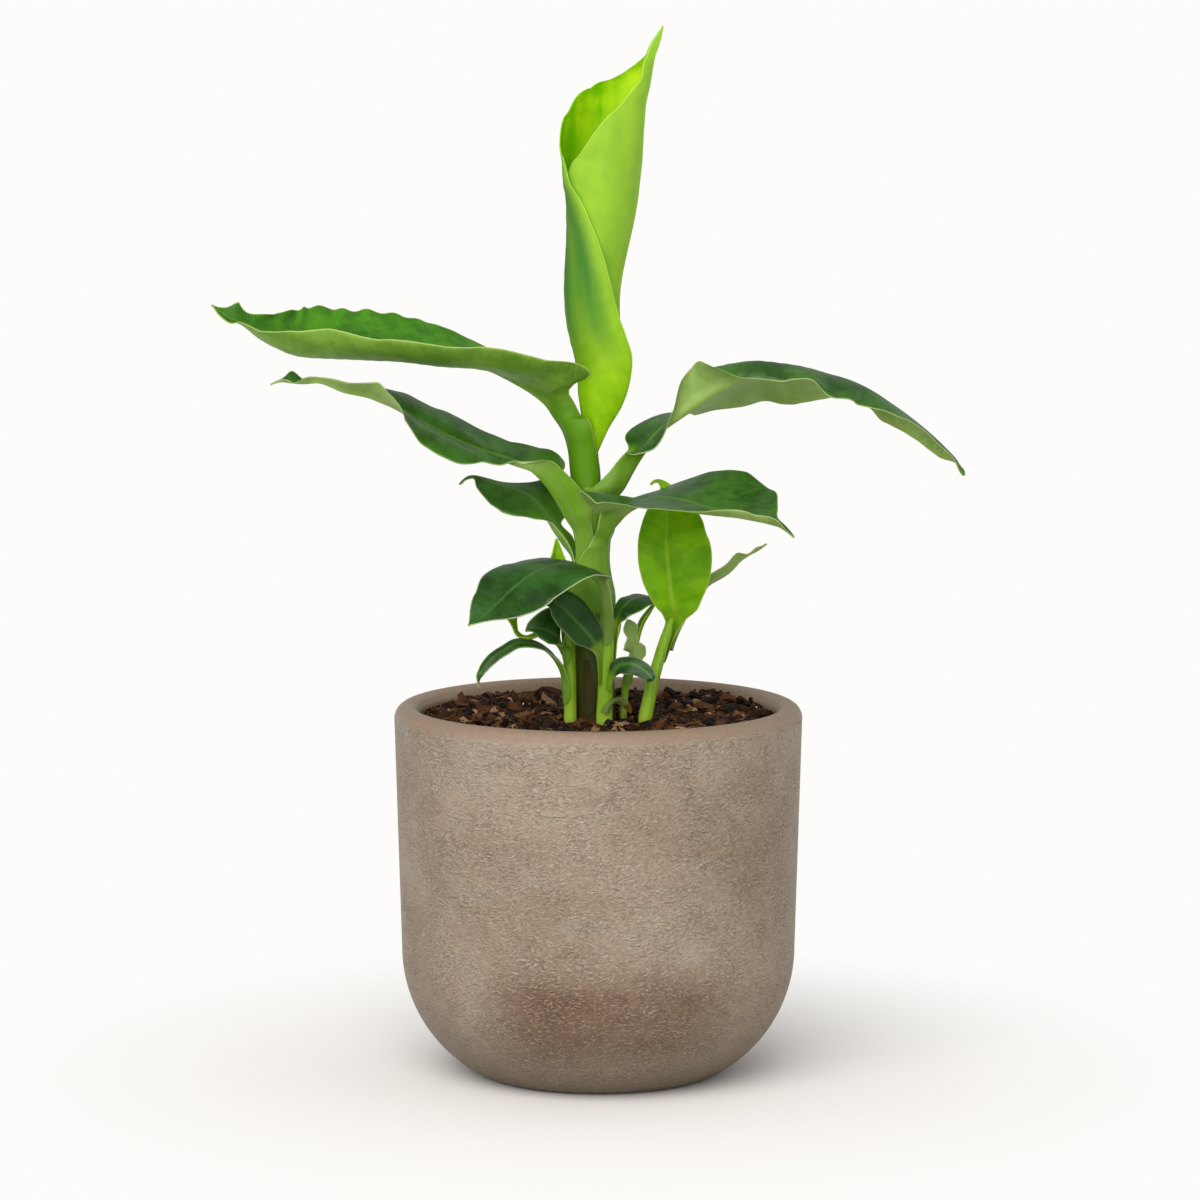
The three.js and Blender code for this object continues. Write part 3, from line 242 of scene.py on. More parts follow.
LEAVES["upper_left_leaf"] = dict(stem="main_stem", azimuth=183, kind="middle", stalk=(5, 7),
    wave=(1.1, 20, 0.2, 0.5), sheath=[
    [262, 150, 150, 0.4], [270, 150, 150, 0.9], [285, 148, 150, 1.4], [296, 118, 130, 2.4],
    [303, 104, 106, 4.5],
], rows=[
    [-19.7, 0, 311, 0, 1.8, [14.2, 0, 115, -5.7], [12, 0, 95, -3]],
    [-23, -1, 317, -4, 2.4, [13, 15, 105, -2], [9, 15, 80, -3]],
    [-26.5, -1, 320.5, -5, 2.6, [27, 22, 85, -8], [14, 10, 30, -5]],
    [-30.5, -2, 323.5, -6, 2.6, [35, 25, 75, -10], [19, 10, 0, -6]],
    [-39, -3, 328.5, -6, 2.4, [34, 5, 66, -6], [23, 10, 0, -2]],
    [-55, -4, 335.5, -6, 2.2, [34, -16, 68], [24, 10, 12]],
    [-78.5, -6, 339, -6, 2, [34, -24, 66], [28, 16, 32]],
    [-101.5, -7, 341, -6, 1.8, [34, -24, 66], [32, 17, 38]],
    [-125, -8, 340.5, -4, 1.6, [34, -18, 78], [34, 21, 42]],
    [-143.5, -9, 342, -2, 1.4, [28, -15, 68], [30, 30, 47]],
    [-156.5, -9, 348, 0, 1.2, [16, -5, 35], [18, 40, 58]],
    [-166, -9, 355, 0, 1, [6, -10, 20], [7, 50, 60]],
    [-171, -9, 357, 0, 0.9, [4, -30, -30], [9, 60, 70]],
    [-175, -9, 359.5, 0, 0.9, [2.5, -30, -30], [3.5, 60, 70]], [-179.5, -9, 363.5],
])
LEAVES["upper_right_leaf"] = dict(stem="main_stem", azimuth=-8, kind="dark", lean=3.5,
    stalk=(6, 7), sheath=[[244, 85, 100, 0], [254, 85, 104, 0.1], [261, 85, 110, 1.75]], rows=[
    [4.1, -1.3, 268, 0, 1, [14.5, 0, 95], [17.3, 0, 114, -1]],
    [10.2, -3.5, 277, 0, 2, [8.5, 20, 90], [15, 0, 104, -5]],
    [14.4, -5, 286, 0, 2.6, [8, 20, 100], [8.5, 12, 100, -1]],
    [18.2, -6, 292.8, 0, 2.8, [7.5, 20, 85, -2], [8, 8, 65, -1]],
    [21.8, -7, 298, 0, 2.8, [13.5, 24, 55, -6], [10.5, 0, 5, -5]],
    [25.7, -7, 302.6, 0, 2.8, [17, 24, 44, -7], [11.5, -15, -30, -3]],
    [30, -7, 307, 0, 2.7, [18.5, 18, 20, -3], [8.5, -10, -15, 2]],
    [35.3, -8, 310.8, 0, 2.6, [18.5, 2, -4, 1], [7, 20, 35, 3]],
    [40, -9, 314, 0, 2.5, [20, -8, -15], [13, 65, 80, 7]],
    [46, -9, 318, 0, 2.4, [23, -12, -22], [15, 85, 85, 7]],
    [58, -10, 325.5, 0, 2.2, [29, -15, -38], [20, 85, -20, 3]],
    [70.5, -12, 331.5, 0, 2, [31, -18, -43], [27, 65, -68]],
    [86.5, -14, 334.5, 0, 1.8, [31, -25, -52], [28, 30, -50]],
    [103.5, -17, 332.5, 0, 1.6, [28, -20, -45], [26, 15, -22]],
    [114.5, -19, 330, 0, 1.5, [24, -15, -35], [24, 0, -40]],
    [124, -20, 326, 0, 1.4, [21, -20, -38], [21, 0, -36]],
    [136, -23, 318.5, 0, 1.3, [17, -30, -60], [17, 5, -15]],
    [149.5, -26, 308.5, 0, 1.1, [12, -30, -60], [12, 5, 5]],
    [160.5, -28, 298.5, 0, 0.9, [9, -30, -60], [7]], [166, -29, 292.5, 0, 0.9, [4, -20, -50], [4]],
    [169, -30, 285.5],
])
LEAVES["middle_left_leaf"] = dict(stem="main_stem", azimuth=205, kind="dark", layer=2, lean=2,
    stalk=(7, 9), sheath=[
    [214, 70, 70, -1.55], [229.3, 74, 74, -1.5], [230.8, 78, 78, 2.6], [247, 78, 76, 0],
    [256, 76, 70, 0.4],
], rows=[
    [-14.2, -4.5, 264.5, 0, 2, [13.5, 0, 86], [11, 5, 84]],
    [-18.5, -7.5, 274.5, 0, 3, [11.5, 8, 90], [9, 10, 90]],
    [-24, -10, 282.5, 0, 3.2, [9, 20, 95, -2], [12, 20, 70, -7]],
    [-30.5, -12, 288, 0, 3.1, [8, 30, 80, -6], [19, 30, 50, -15]],
    [-38.5, -14, 291.5, 0, 3, [2.5, 0, 0, -2], [18, 30, 40, -13]],
    [-47, -16, 294.5, 2, 2.8, [9, -30, -40, -2], [17, 30, 35, -8]],
    [-55, -17, 297, 5, 2.6, [15, -20, -45], [19, 40, 30, -6]],
    [-68.5, -21, 303, 5, 2.2, [24, -20, -50], [26, 50, 15]],
    [-82.5, -25, 311, 5, 2, [26, -15, -50], [26, 50, 10]],
    [-93.5, -29, 318, 5, 1.8, [22, -5, -38], [20, 45, 10]],
    [-99, -31, 320.5, 5, 1.7, [18], [15, 40, 10]], [-106, -32, 323, 5, 1.6, [12, 25, 25], [13, 20, 20]],
    [-116.5, -35, 325.5, 5, 1.4, [8.5, 22, 22], [10, 10, 10]],
    [-129, -38, 330, 5, 1.1, [3, 30, 30], [3, 10, 10]],
    [-135, -39, 329.5, 0, 1, [5, 20, 30], [6, 20, 20]],
    [-140.5, -40, 330, 0, 1, [5, -10, -10], [7, 40, 50]],
    [-145, -41, 330.5, 0, 0.9, [1.5, 20, 20], [1.5, 40, 40]], [-150.5, -42, 329],
])
LEAVES["middle_right_leaf"] = dict(stem="main_stem", azimuth=322, kind="dark", layer=3, lean=3,
    stalk=(6, 7), sheath=[
    [217, 104, 104, -2.5], [229.3, 120, 104, -2.45], [230.8, 130, 104, 1.6], [243, 125, 92, 0],
    [250, 100, 60, 0.6],
], rows=[
    [4.7, -9.3, 258, 0, 2.2, [10, 5, 80], [5.6, 2, 50, -2]],
    [8.5, -12, 264.5, 0, 3, [7, 10, 80], [8, 10, 75, -2]],
    [14, -16, 270, 0, 3, [8, 20, 50, -6], [12, 10, 20, -10]],
    [19.5, -19, 273, 0, 3, [13, 15, 20, -6], [29, 12, 30, -15]],
    [25, -22, 275, 0, 2.8, [21, 8, 14, -6], [32, -6, 8, -10]],
    [36, -31, 275.5, 0, 2.4, [28, 15, 26], [33, -8, 7, -2]],
    [48, -42, 273, 0, 2, [32, 20, 28], [32, -3, 9]],
    [60.5, -53, 270.5, 0, 1.8, [29, 12, 20], [29, 2, 15]],
    [70, -63, 269.5, 0, 1.5, [17, 12, 16], [24, 4, 28]],
    [77.5, -71, 268.5, 0, 1.2, [6, 5, 10], [13, 0, 50]], [83, -77, 267, 0, 1, [3], [5, 40, 50]],
    [88.5, -82, 263],
])
LEAVES["lower_left_leaf"] = dict(stem="main_stem", azimuth=165, kind="dark", layer=3, lean=2,
    stalk=(6, 8), sheath=[
    [215, 48, 38, -2.5], [229.3, 48, 38, -2.45], [230.8, 48, 38, 1.6], [237, 48, 38, 0],
    [243, 42, 34, 0.1],
], rows=[
    [-16, 4, 251.5, 0, 2, [6, 5, 60], [6, 5, 50]], [-20, 7, 258, 0, 2.4, [4, 5, 40]],
    [-24.5, 10, 264.5, 0, 2.2, [8, -30, -40], [12, 30, 40, -3]],
    [-31, 13, 271, 0, 2, [14, -40, -50], [15, 40, 45]],
    [-37.5, 16, 274.5, 0, 1.7, [15, -45, -52], [9, 20, 25]],
    [-45.5, 19, 276.5, 0, 1.4, [13, -40, -50], [5, 10, 15]],
    [-53, 21, 278.5, 0, 1.1, [8, -35, -40], [3, 10, 10]],
    [-59, 23, 280.5, 0, 0.9, [2, -30, -30], [1.5]], [-62, 23.5, 280, 0, 0.9, [2, -30, -30], [1.5]],
    [-65.5, 24, 276],
])
LEAVES["front_left_leaf"] = dict(stem="front_shoot_stem", azimuth=215, kind="greyed", lean=2,
    stalk=(3, 5), sheath=[[205, 60, 60, 0, 262], [213, 50, 50, 0.3, 262]], rows=[
    [3, -23, 227, 0, 2, [3.2, 5, 70]], [1.5, -25, 234.5, 0, 2, [3.4, 10, 50]],
    [-2.5, -28, 240, 0, 2, [9, 10, -10, -3], [9, 20, 20, -5]],
    [-7, -31, 243.5, 0, 1.9, [20, 0, -14, -4], [13, 12, 6, -3]],
    [-13, -35, 245.5, 0, 1.8, [24, 0, -14], [17, 8, -4]],
    [-26, -45, 244.5, 0, 1.6, [23.5, 0, -22], [20.5, 8, -10]],
    [-37, -55, 238, 0, 1.4, [22, 0, -16], [18, 18, 2]],
    [-46.5, -65, 230, 0, 1.2, [17, 0, -10], [12, 25, 15]],
    [-52.5, -71, 225, 0, 1, [6, 0, -10], [8, 30, 30]], [-59, -76, 222],
])
LEAVES["front_lower_leaf"] = dict(stem="front_shoot_stem", azimuth=190, kind="deep", rows=[
    [1.1, -20.4, 187, -45, 1.1, [1.2, 0, -20]], [1, -21, 194.5, -50, 1.3, [1.5, 0, -10]],
    [0.3, -22.4, 202.5, -55, 1.6, [2.8, 0, 5], [2.8, 5, 5]], [-3, -24, 209, -60, 1.6, [6], [7, 15, 15]],
    [-7.5, -27, 214.5, -60, 1.5, [8.5, 0, -5], [9, 15, 10]],
    [-13, -29, 220.5, -60, 1.3, [8.5, 0, -5], [10, 15, 10]],
    [-18, -31, 225.5, -60, 1.2, [7.5], [8, 10, 10]], [-23, -33, 228, -50, 1, [4], [4.5]],
    [-27, -34, 227, -30, 0.9, [1.5]], [-31.5, -35, 225.5],
])
LEAVES["front_right_leaf"] = dict(stem="front_shoot_stem", azimuth=20, kind="offshoot", lean=2, sheath=[
    [190, 42, 42, 0.1, 45], [195, 42, 42, 0.1, 45], [202, 40, 40, 0.3, 45],
], rows=[
    [9, -9.5, 212, 0, 1.5, [2.2, 0, 60]], [10.5, -7.5, 220, 0, 1.4, [4, 20, 20, -2], [6, 0, -40, -3]],
    [14.5, -4.5, 224, 0, 1.4, [6, 25, 15], [8, -20, -70]],
    [20, 2, 225.5, 0, 1.3, [6, 20, 10], [7, -30, -60]],
    [26, 7, 224.5, 0, 1.2, [5, 20, 10], [6, -20, -50]], [31, 11, 222.5, 0, 1, [3, 10], [3.5, -10, -20]],
    [34, 13, 219.5],
])
LEAVES["front_drooping_leaf"] = dict(stem="front_shoot_stem", azimuth=-15, kind="deep", lean=2, rows=[
    [4.8, -20.6, 184, 90, 1.1, [1.2, 0, -20]], [6, -21.4, 191, 85, 1.3, [1.8, 0, -10]],
    [9, -22.4, 195.5, 70, 1.5, [3.6, 10, 10], [3.8]], [14, -24, 197, 60, 1.4, [3.6, 10], [5, 0, -10]],
    [20, -26, 195.5, 60, 1.3, [3.2, 10], [4.5, 0, -10]], [23.5, -27.5, 192.5, 50, 1.1, [3], [3.5]],
    [25.5, -28.5, 189.5, 30, 0.9, [1.6], [2]], [25, -29, 186],
])
LEAVES["base_scale_leaf"] = dict(stem="front_shoot_stem", azimuth=-60, kind="deep", ruffle=1.0,
    dry=(0.5, 0.9), rows=[
    [3.4, -20.6, 173.5, 0, 0.8, [2.4, 0, 25]], [5.2, -21, 177.5, 0, 0.8, [2.3, 0, 20]],
    [8.8, -18.8, 179.4, 0, 0.8, [2.2, 0, 10]], [11.3, -15.5, 178, 0, 0.8, [1.9]],
    [13.9, -12.5, 175, 0, 0.8, [1.4]], [15, -11, 172.2],
])
LEAVES["dried_sheath"] = dict(stem="main_stem", azimuth=250, kind="dried", sheath=[
    [170.5, 24, 22, 0.1], [180, 22, 20, 0.1], [188, 16, 15, 0.1], [193, 9, 9, 0.3],
], rows=[
    [-6.2, -10.4, 197],
])
LEAVES["left_upright_leaf"] = dict(stem="left_shoot_stem", azimuth=110, kind="fresh", sheath=[
    [203, 42, 42, 0.2, 125],
], rows=[
    [-15.7, -2, 213.5, 0, 1.4, [2.2, 0, 60]], [-16.5, 1.5, 224, 0, 1.4, [3, 10, 40]],
    [-18.5, 3, 231.5, 0, 1.3, [6, 20, 20]], [-19.5, 4, 239, 0, 1.2, [5.5, 20, 20]],
    [-19.5, 3.4, 245.5, 0, 1, [3, 20, 20]], [-19.5, 2.4, 252.5],
])
LEAVES["left_small_leaf"] = dict(stem="left_shoot_stem", azimuth=195, kind="fresh", sheath=[
    [199, 35, 35, 0.2, 163],
], rows=[
    [-21, -9, 206, 0, 1.2, [1.6, 0, 60]], [-27, -13, 209.5, 0, 1.2, [1.4, 0, 60]],
    [-33.5, -17, 208.5, 0, 1.2, [1.4, 0, 60]], [-37.5, -19, 210.5, -40, 1.2, [1.4, 0, 40]],
    [-39, -21, 215.5, -60, 1.2, [2]], [-40, -23, 221.5, -70, 1.1, [4.5]],
    [-41.5, -25, 228, -70, 1, [4]], [-43, -27, 234, -70, 0.8, [0.5]],
])
LEAVES["left_arching_leaf"] = dict(stem="left_shoot_stem", azimuth=183, kind="offshoot", lean=3, sheath=[
    [176, 50, 50, 0.1, 222], [181, 50, 50, 0.1, 222], [188, 42, 42, 0.3, 215],
], rows=[
    [-19.5, -12.5, 197.5, 0, 1.4, [1.8, 0, 50]],
    [-24, -14.5, 202.5, -10, 1.3, [2.2, 0, -10], [2.6, 10, 10]],
    [-30.5, -16.5, 205.5, -20, 1.2, [2.8, 0, -20], [3.4, 10]],
    [-38, -18.5, 206, -20, 1.1, [3, -10, -30], [3.6, 10]],
    [-44, -20.5, 203, -20, 1.1, [3, -10, -30], [3.4, 10]],
    [-49.5, -22.5, 199.5, -20, 1, [3, -10, -30], [3, 10]],
    [-53.5, -24, 195, -10, 0.9, [2.4, -10, -30], [2.4]], [-55.5, -25, 191, 0, 0.9, [1.4]],
    [-55, -26, 186],
])
LEAVES["left_hanging_leaf"] = dict(stem="left_shoot_stem", azimuth=195, kind="offshoot", lean=2, sheath=[
    [195, 42, 42, 0.1, 247], [198, 42, 42, 0.2, 246], [202, 36, 36, 0.5, 243],
], rows=[
    [-18, -13, 207, -20, 1.3, [4, -20, -40], [4, 20, 15]],
    [-21.5, -15, 210.5, -30, 1.2, [6, -20, -50], [10.5, 50, 75]],
    [-26.5, -17, 212.5, -30, 1, [5, -20, -50], [11, 65, 85]],
    [-31, -19, 213, -20, 0.9, [2, -20, -30], [4, 60, 70]], [-34, -20, 212],
])
LEAVES["right_large_leaf"] = dict(stem="right_shoot_stem", azimuth=80, kind="fresh", sheath=[
    [194, 55, 55, 0.2, 62], [199, 55, 55, 0.2, 62], [206, 55, 55, 0.5, 66],
], rows=[
    [36, 0.4, 214, 0, 2, [4.6, 5, 35], [4.6, 5, 30]],
    [35.8, 0.3, 218.5, 0, 2, [6, 15, 15], [11, 15, 15]],
    [34.5, 0, 225, 0, 1.9, [9.5, 15, 10], [16, 15, 10]],
    [33.5, 1.5, 234, 0, 1.7, [12.8, 15, 5], [19.8, 15, 5]],
    [32.5, 3, 243.5, 0, 1.6, [13.8, 15], [21.3, 15]], [32, 4.5, 252, 0, 1.5, [13.2, 15], [20.6, 15]],
    [32.5, 6, 260, 0, 1.4, [11.8, 15], [17.6, 15]], [32.5, 7, 266.5, 0, 1.3, [9.4, 15, 5], [13, 15, 5]],
    [32, 7, 273, 0, 1.1, [5, 10, 10], [5.5, 10, 10]], [30.5, 6, 277.5, 0, 1, [2], [2.6]],
    [27.5, 4, 280, 0, 0.9, [1]], [24.5, 2, 278.5],
])
LEAVES["right_thin_leaf"] = dict(stem="right_shoot_stem", azimuth=15, kind="offshoot", rows=[
    [34, 3, 200, 0, 1.3, [2.2, 0, 60]], [37, 6, 208, 0, 1.3, [2, 0, 60]],
    [42.5, 9, 218, 0, 1.3, [2, 0, 50]], [48, 12, 226, -20, 1.3, [3], [4, 20, 20]],
    [54, 14, 232, -30, 1.2, [4], [3.6, 30, 40]], [61.5, 16, 236, -30, 1.1, [4], [4, 30, 40]],
    [67, 18, 241, -30, 1, [3], [4.5, 40, 40]], [71, 19, 243.5, -10, 0.9, [1.2], [1.6, 20, 20]],
    [75, 20, 245.5, 0, 0.9, [1.4], [2, 50, 50]], [79.5, 21, 248.5],
])
LEAVES["small_rolled_leaf"] = dict(stem="small_shoot_stem", azimuth=30, kind="fresh", rows=[
    [15.5, 3.5, 189.5, 0, 1.1, [1.4, 0, 60]], [17, 4, 197.5, 0, 1.1, [1.4, 0, 60]],
    [18.5, 5, 205, 0, 1.1, [1.8, 0, 80]], [21, 6, 212.5, 0, 1, [2.2, 0, 100]],
    [24, 7, 217.5, 0, 1, [1.6, 0, 80]], [27, 8, 222.5],
])
LEAVES["small_torn_leaf"] = dict(stem="small_shoot_stem", azimuth=100, kind="pale", rows=[
    [14, -2, 184.5, 0, 1.1, [1.8, 0, 60]], [15, -2.2, 192, 0, 1.1, [1.8, 0, 50]],
    [16, -2, 196.5, 0, 1.2, [2, 0, 10], [3.2]], [17, -2, 199, 0, 1.2, [2.4], [5.4, 0, -10]],
    [17, -2, 201.5, 0, 1.2, [5.6, 10], [5.6, 0, -10]], [16.5, -2, 204, 0, 1.1, [4.6, 10], [2.4]],
    [16, -2, 207, 0, 1, [2.6, 10], [2.6]], [15, -2, 210, 0, 1, [3.4, 10], [4.2, 10]],
    [14.5, -2, 212.5, 0, 0.9, [2.6, 10], [3.4, 10]], [14, -2, 215],
])


# Meshes

def unit(vectors):
    return vectors / np.linalg.norm(vectors, axis=-1, keepdims=True)


def smoothstep(low, high, value):
    share = np.clip((value - low) / (high - low), 0.0, 1.0)
    return share * share * (3.0 - 2.0 * share)


def add_mesh(name, points, faces, looks, nodes=(), face_looks=None, maps=None, sharp_angle=None):
    """A mesh piece on the plant's body. points are in mm, and maps are per-point UV values."""
    mesh = bpy.data.meshes.new(name)
    mesh.from_pydata((np.asarray(points) * MM).tolist(), [], [tuple(face) for face in faces])
    mesh.update()
    for look in looks:
        mesh.materials.append(look)
    if face_looks is not None:
        mesh.polygons.foreach_set("material_index", np.asarray(face_looks, dtype=np.int32))
    corners = np.empty(len(mesh.loops), dtype=np.int32)
    mesh.loops.foreach_get("vertex_index", corners)
    for label, values in (maps or {}).items():
        layer = mesh.uv_layers.new(name=label)
        layer.data.foreach_set("uv", np.asarray(values, dtype=np.float32)[corners].ravel())
    mesh.polygons.foreach_set("use_smooth", np.ones(len(mesh.polygons), dtype=bool))
    if sharp_angle:
        mesh.set_sharp_from_angle(angle=math.radians(sharp_angle))
    piece = bpy.data.objects.new(name, mesh)
    bpy.context.scene.collection.objects.link(piece)
    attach(piece, BODY)
    if nodes:
        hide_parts(*nodes)


def grid_faces(rows, columns, closed=False):
    """Four-sided faces between neighbours of a grid of points, row after row."""
    faces = []
    for i in range(rows - 1):
        for j in range(columns if closed else columns - 1):
            right = (j + 1) % columns
            faces.append((i * columns + j, i * columns + right,
                          (i + 1) * columns + right, (i + 1) * columns + j))
    return faces


def full_circle(sides):
    return np.linspace(0.0, FULL_TURN, sides, endpoint=False)


def rings_at(reach, z, sides, x=0.0, y=0.0):
    """A stack of rings. reach, z and the centre x, y are columns with a value for each ring."""
    angles = full_circle(sides)
    return np.stack(np.broadcast_arrays(x + reach * np.cos(angles), y + reach * np.sin(angles), z), axis=-1)


def closed_stack(rings, foot, crown):
    """Points and faces of a stack of rings with a fan of triangles at each end."""
    count, sides = rings.shape[:2]
    faces = grid_faces(count, sides, closed=True)
    for j in range(sides):
        right = (j + 1) % sides
        faces.append((count * sides, right, j))
        faces.append((count * sides + 1, (count - 1) * sides + j, (count - 1) * sides + right))
    return np.concatenate([rings.reshape(-1, 3), [foot, crown]]), faces


# Curves through a table's rows

def hermite(places, values, slopes, wanted):
    index = np.clip(np.searchsorted(places, wanted, side="right") - 1, 0, len(places) - 2)
    width = (places[index + 1] - places[index])[:, None]
    t = (wanted[:, None] - places[index][:, None]) / width
    return ((1 + 2 * t) * (1 - t) ** 2 * values[index] + t * (1 - t) ** 2 * width * slopes[index]
            + t * t * (3 - 2 * t) * values[index + 1] + t * t * (t - 1) * width * slopes[index + 1])


def smooth_slopes(places, values):
    """Three-point slopes, for the spine."""
    step = np.diff(places)[:, None]
    rise = np.diff(values, axis=0) / step
    slopes = np.zeros_like(values)
    slopes[1:-1] = (step[1:] * rise[:-1] + step[:-1] * rise[1:]) / (step[1:] + step[:-1])
    slopes[0] = 2 * rise[0] - slopes[1]
    slopes[-1] = 2 * rise[-1] - slopes[-2]
    return slopes


def steady_slopes(places, values):
    """Slopes that never overshoot, for widths and angles."""
    step = np.diff(places)
    rise = np.diff(values, axis=0) / step[:, None]
    slopes = np.zeros_like(values)
    slopes[0] = rise[0]
    slopes[-1] = rise[-1]
    for i in range(1, len(places) - 1):
        before = 2 * step[i] + step[i - 1]
        after = step[i] + 2 * step[i - 1]
        same_way = rise[i - 1] * rise[i] > 0
        safe_low = np.where(same_way, rise[i - 1], 1.0)
        safe_high = np.where(same_way, rise[i], 1.0)
        slopes[i] = np.where(same_way, (before + after) / (before / safe_low + after / safe_high), 0.0)
    return slopes


# Stems

def stem_at(name, z):
    """Axis and radius of a stem at a height."""
    rows = np.asarray(STEMS[name], dtype=float)
    return np.array([np.interp(z, rows[:, 2], rows[:, k]) for k in range(4)])


def make_stem(name, look):
    rows = np.asarray(STEMS[name], dtype=float)
    heights = np.arange(rows[0, 2], rows[-1, 2] + STEM_STEP / 2, STEM_STEP)
    heights[-1] = rows[-1, 2]
    axis = np.stack([stem_at(name, z) for z in heights])
    if name != "main_stem":
        axis[:, 3] *= 1.0 - 0.6 * smoothstep(heights[-1] - STEM_TOP_TAPER, heights[-1], heights)
    x, y, z, radius = (axis[:, k:k + 1] for k in range(4))
    angles = full_circle(STEM_SIDES)
    rings = rings_at(radius + 0.05 * np.sin(9 * angles), z, STEM_SIDES, x, y)
    points, faces = closed_stack(rings, rings[0].mean(axis=0), rings[-1].mean(axis=0))
    around = np.append(np.tile(angles / FULL_TURN, len(heights)), [0, 0])
    place = np.stack([around, (points[:, 2] - SOIL_MIDDLE_HEIGHT) / MAP_UNIT], axis=1)
    add_mesh(name + "_skin", points, faces, [look], [name], maps={"place": place}, sharp_angle=60)


# Leaves

def leaf_rows(leaf):
    """All rows of a leaf as numbers: x, y, z, roll, rib, lean, then five values for each half."""
    rows = []
    for z, left, right, extra, *side in leaf.get("sheath", []):
        azimuth = side[0] if side else leaf["azimuth"]
        x, y, _, radius = stem_at(leaf["stem"], z)
        reach = radius + SHEATH_GAP + SHEATH_LAYER * (leaf.get("layer", 1) - 1) + extra
        angle = math.radians(azimuth)
        row = [x + reach * math.cos(angle), y + reach * math.sin(angle), z,
               azimuth - leaf["azimuth"], SHEATH_THICKNESS, 0.0]
        for wrap in (left, right):
            row += [reach * math.radians(wrap), 0, wrap, 0, 0]
        rows.append(row)
    for x, y, z, *rest in leaf["rows"]:
        roll, rib, *halves = rest or TIP
        row = [x, y, z, roll, rib, leaf.get("lean", 1)]
        for half in (halves[0], halves[-1]):
            row += half + [0] * (5 - len(half))
        rows.append(row)
    return np.asarray(rows, dtype=float)


def sample_places(places):
    """Places along the spine, close together, with one at each row."""
    samples = []
    for start, end in zip(places[:-1], places[1:]):
        count = max(2, int(math.ceil((end - start) / ALONG_STEP)))
        samples.append(np.linspace(start, end, count, endpoint=False))
    return np.concatenate(samples + [places[-1:]])


def spine(leaf, rows, places, along):
    """Centre, direction, the blade's normal and its sideways direction, and the rows' other values."""
    slopes = smooth_slopes(places, rows[:, :3])
    nudge = places[-1] * 1e-4
    wanted = (along, np.minimum(along + nudge, places[-1]), np.maximum(along - nudge, 0.0))
    centre, ahead, behind = (hermite(places, rows[:, :3], slopes, place) for place in wanted)
    tangent = unit(ahead - behind)
    values = hermite(places, rows[:, 3:], steady_slopes(places, rows[:, 3:]), along)
    azimuth = math.radians(leaf["azimuth"])
    lean = np.stack(np.broadcast_arrays(-math.cos(azimuth), -math.sin(azimuth), values[:, 2]), axis=1)
    normal = unit(lean - np.sum(tangent * lean, axis=1, keepdims=True) * tangent)
    roll = np.radians(values[:, 0:1])
    flat_side = np.cross(tangent, normal)
    return (centre, tangent, normal * np.cos(roll) + flat_side * np.sin(roll),
            flat_side * np.cos(roll) - normal * np.sin(roll), values)


def stalk_share(leaf, rows, places, along, width):
    """1 on the sheath and the stalk and 0 on the blade, with a smooth change between."""
    if "stalk" in leaf:
        start, end = leaf["stalk"]
        return 1.0 - smoothstep(places[start], places[end], along)
    sheath = len(leaf.get("sheath", []))
    row_widths = rows[:, 6] + rows[:, 11]
    widest = sheath + int(np.argmax(row_widths[sheath:]))
    share = 1.0 - smoothstep(0.35 * row_widths[widest], 0.62 * row_widths[widest], width)
    share = np.where(along > places[widest], 0.0, share)
    return np.where(along < places[sheath], 1.0, share)


def sheath_start(along):
    """Shares of the width and the thickness, both less on the rounded start of a sheath."""
    tongue = np.clip(along / SHEATH_TONGUE, 0.0, 1.0)
    width_share = 0.15 + 0.85 * np.sqrt(tongue * (2.0 - tongue))
    return width_share, 0.3 + 0.7 * smoothstep(0.0, 1.6 * SHEATH_TONGUE, along)


def half_bend(half, v, trim):
    """How far out and up a half of the blade is at share v of its width, and its slope there."""
    width, start_slope, end_slope, _, easing = half
    start = np.radians(start_slope)[:, None]
    turn = np.radians(end_slope - start_slope)[:, None]
    ease = easing[:, None]

    def slope_at(place):
        return start + turn * (place + ease * place * (1 - place))

    reach = width * trim * v
    bend = slope_at((np.arange(BEND_STEPS) + 0.5) / BEND_STEPS * v * trim[:, None])
    out = reach * np.cos(bend).mean(axis=1)
    up = reach * np.sin(bend).mean(axis=1)
    return out, up, slope_at(v * trim[:, None])


def half_lift(leaf, side, v, along, reach, share, phases, fade):
    """How far a column of points stands off the smooth blade: ruffles, side pleats and waves."""
    ripple = 0.6 * np.sin(along / 3.1 + phases[0] + side) + 0.4 * np.sin(along / 1.55 + phases[1])
    ripple += 0.5 * np.sin(along / 6.7 + phases[2] + 2 * side)
    lift = leaf.get("ruffle", RUFFLE) * ripple * v ** 2 * fade
    pleat = np.sin((along - 0.4 * reach) / 1.05 + phases[3] + 0.8 * np.sin(reach / 5.0 + phases[4]))
    lift += PLEAT * pleat * fade * smoothstep(0.06, 0.2, v) * smoothstep(1.0, 0.9, v)
    if "wave" in leaf and side > 0:
        size, count, phase, begin = leaf["wave"]
        window = np.clip((share - begin) / 0.12, 0, 1) * np.clip((1 - share) / 0.08, 0, 1)
        lift += size * v * v * window * np.sin(FULL_TURN * (count * share + phase))
    return lift


def painted_shade_strength(leaf, side, share, from_margin):
    """Strength of the painted shade, a darker green stripe along the left half of a leaf that has one."""
    if "painted_shade_band" not in leaf or side > 0:
        return np.zeros(len(share))
    low, full, still, gone = leaf["painted_shade_band"]
    lengthwise = smoothstep(low, full, share) * smoothstep(gone, still, share)
    return lengthwise * smoothstep(0.0, 11.0, from_margin) * smoothstep(44.0, 28.0, from_margin)


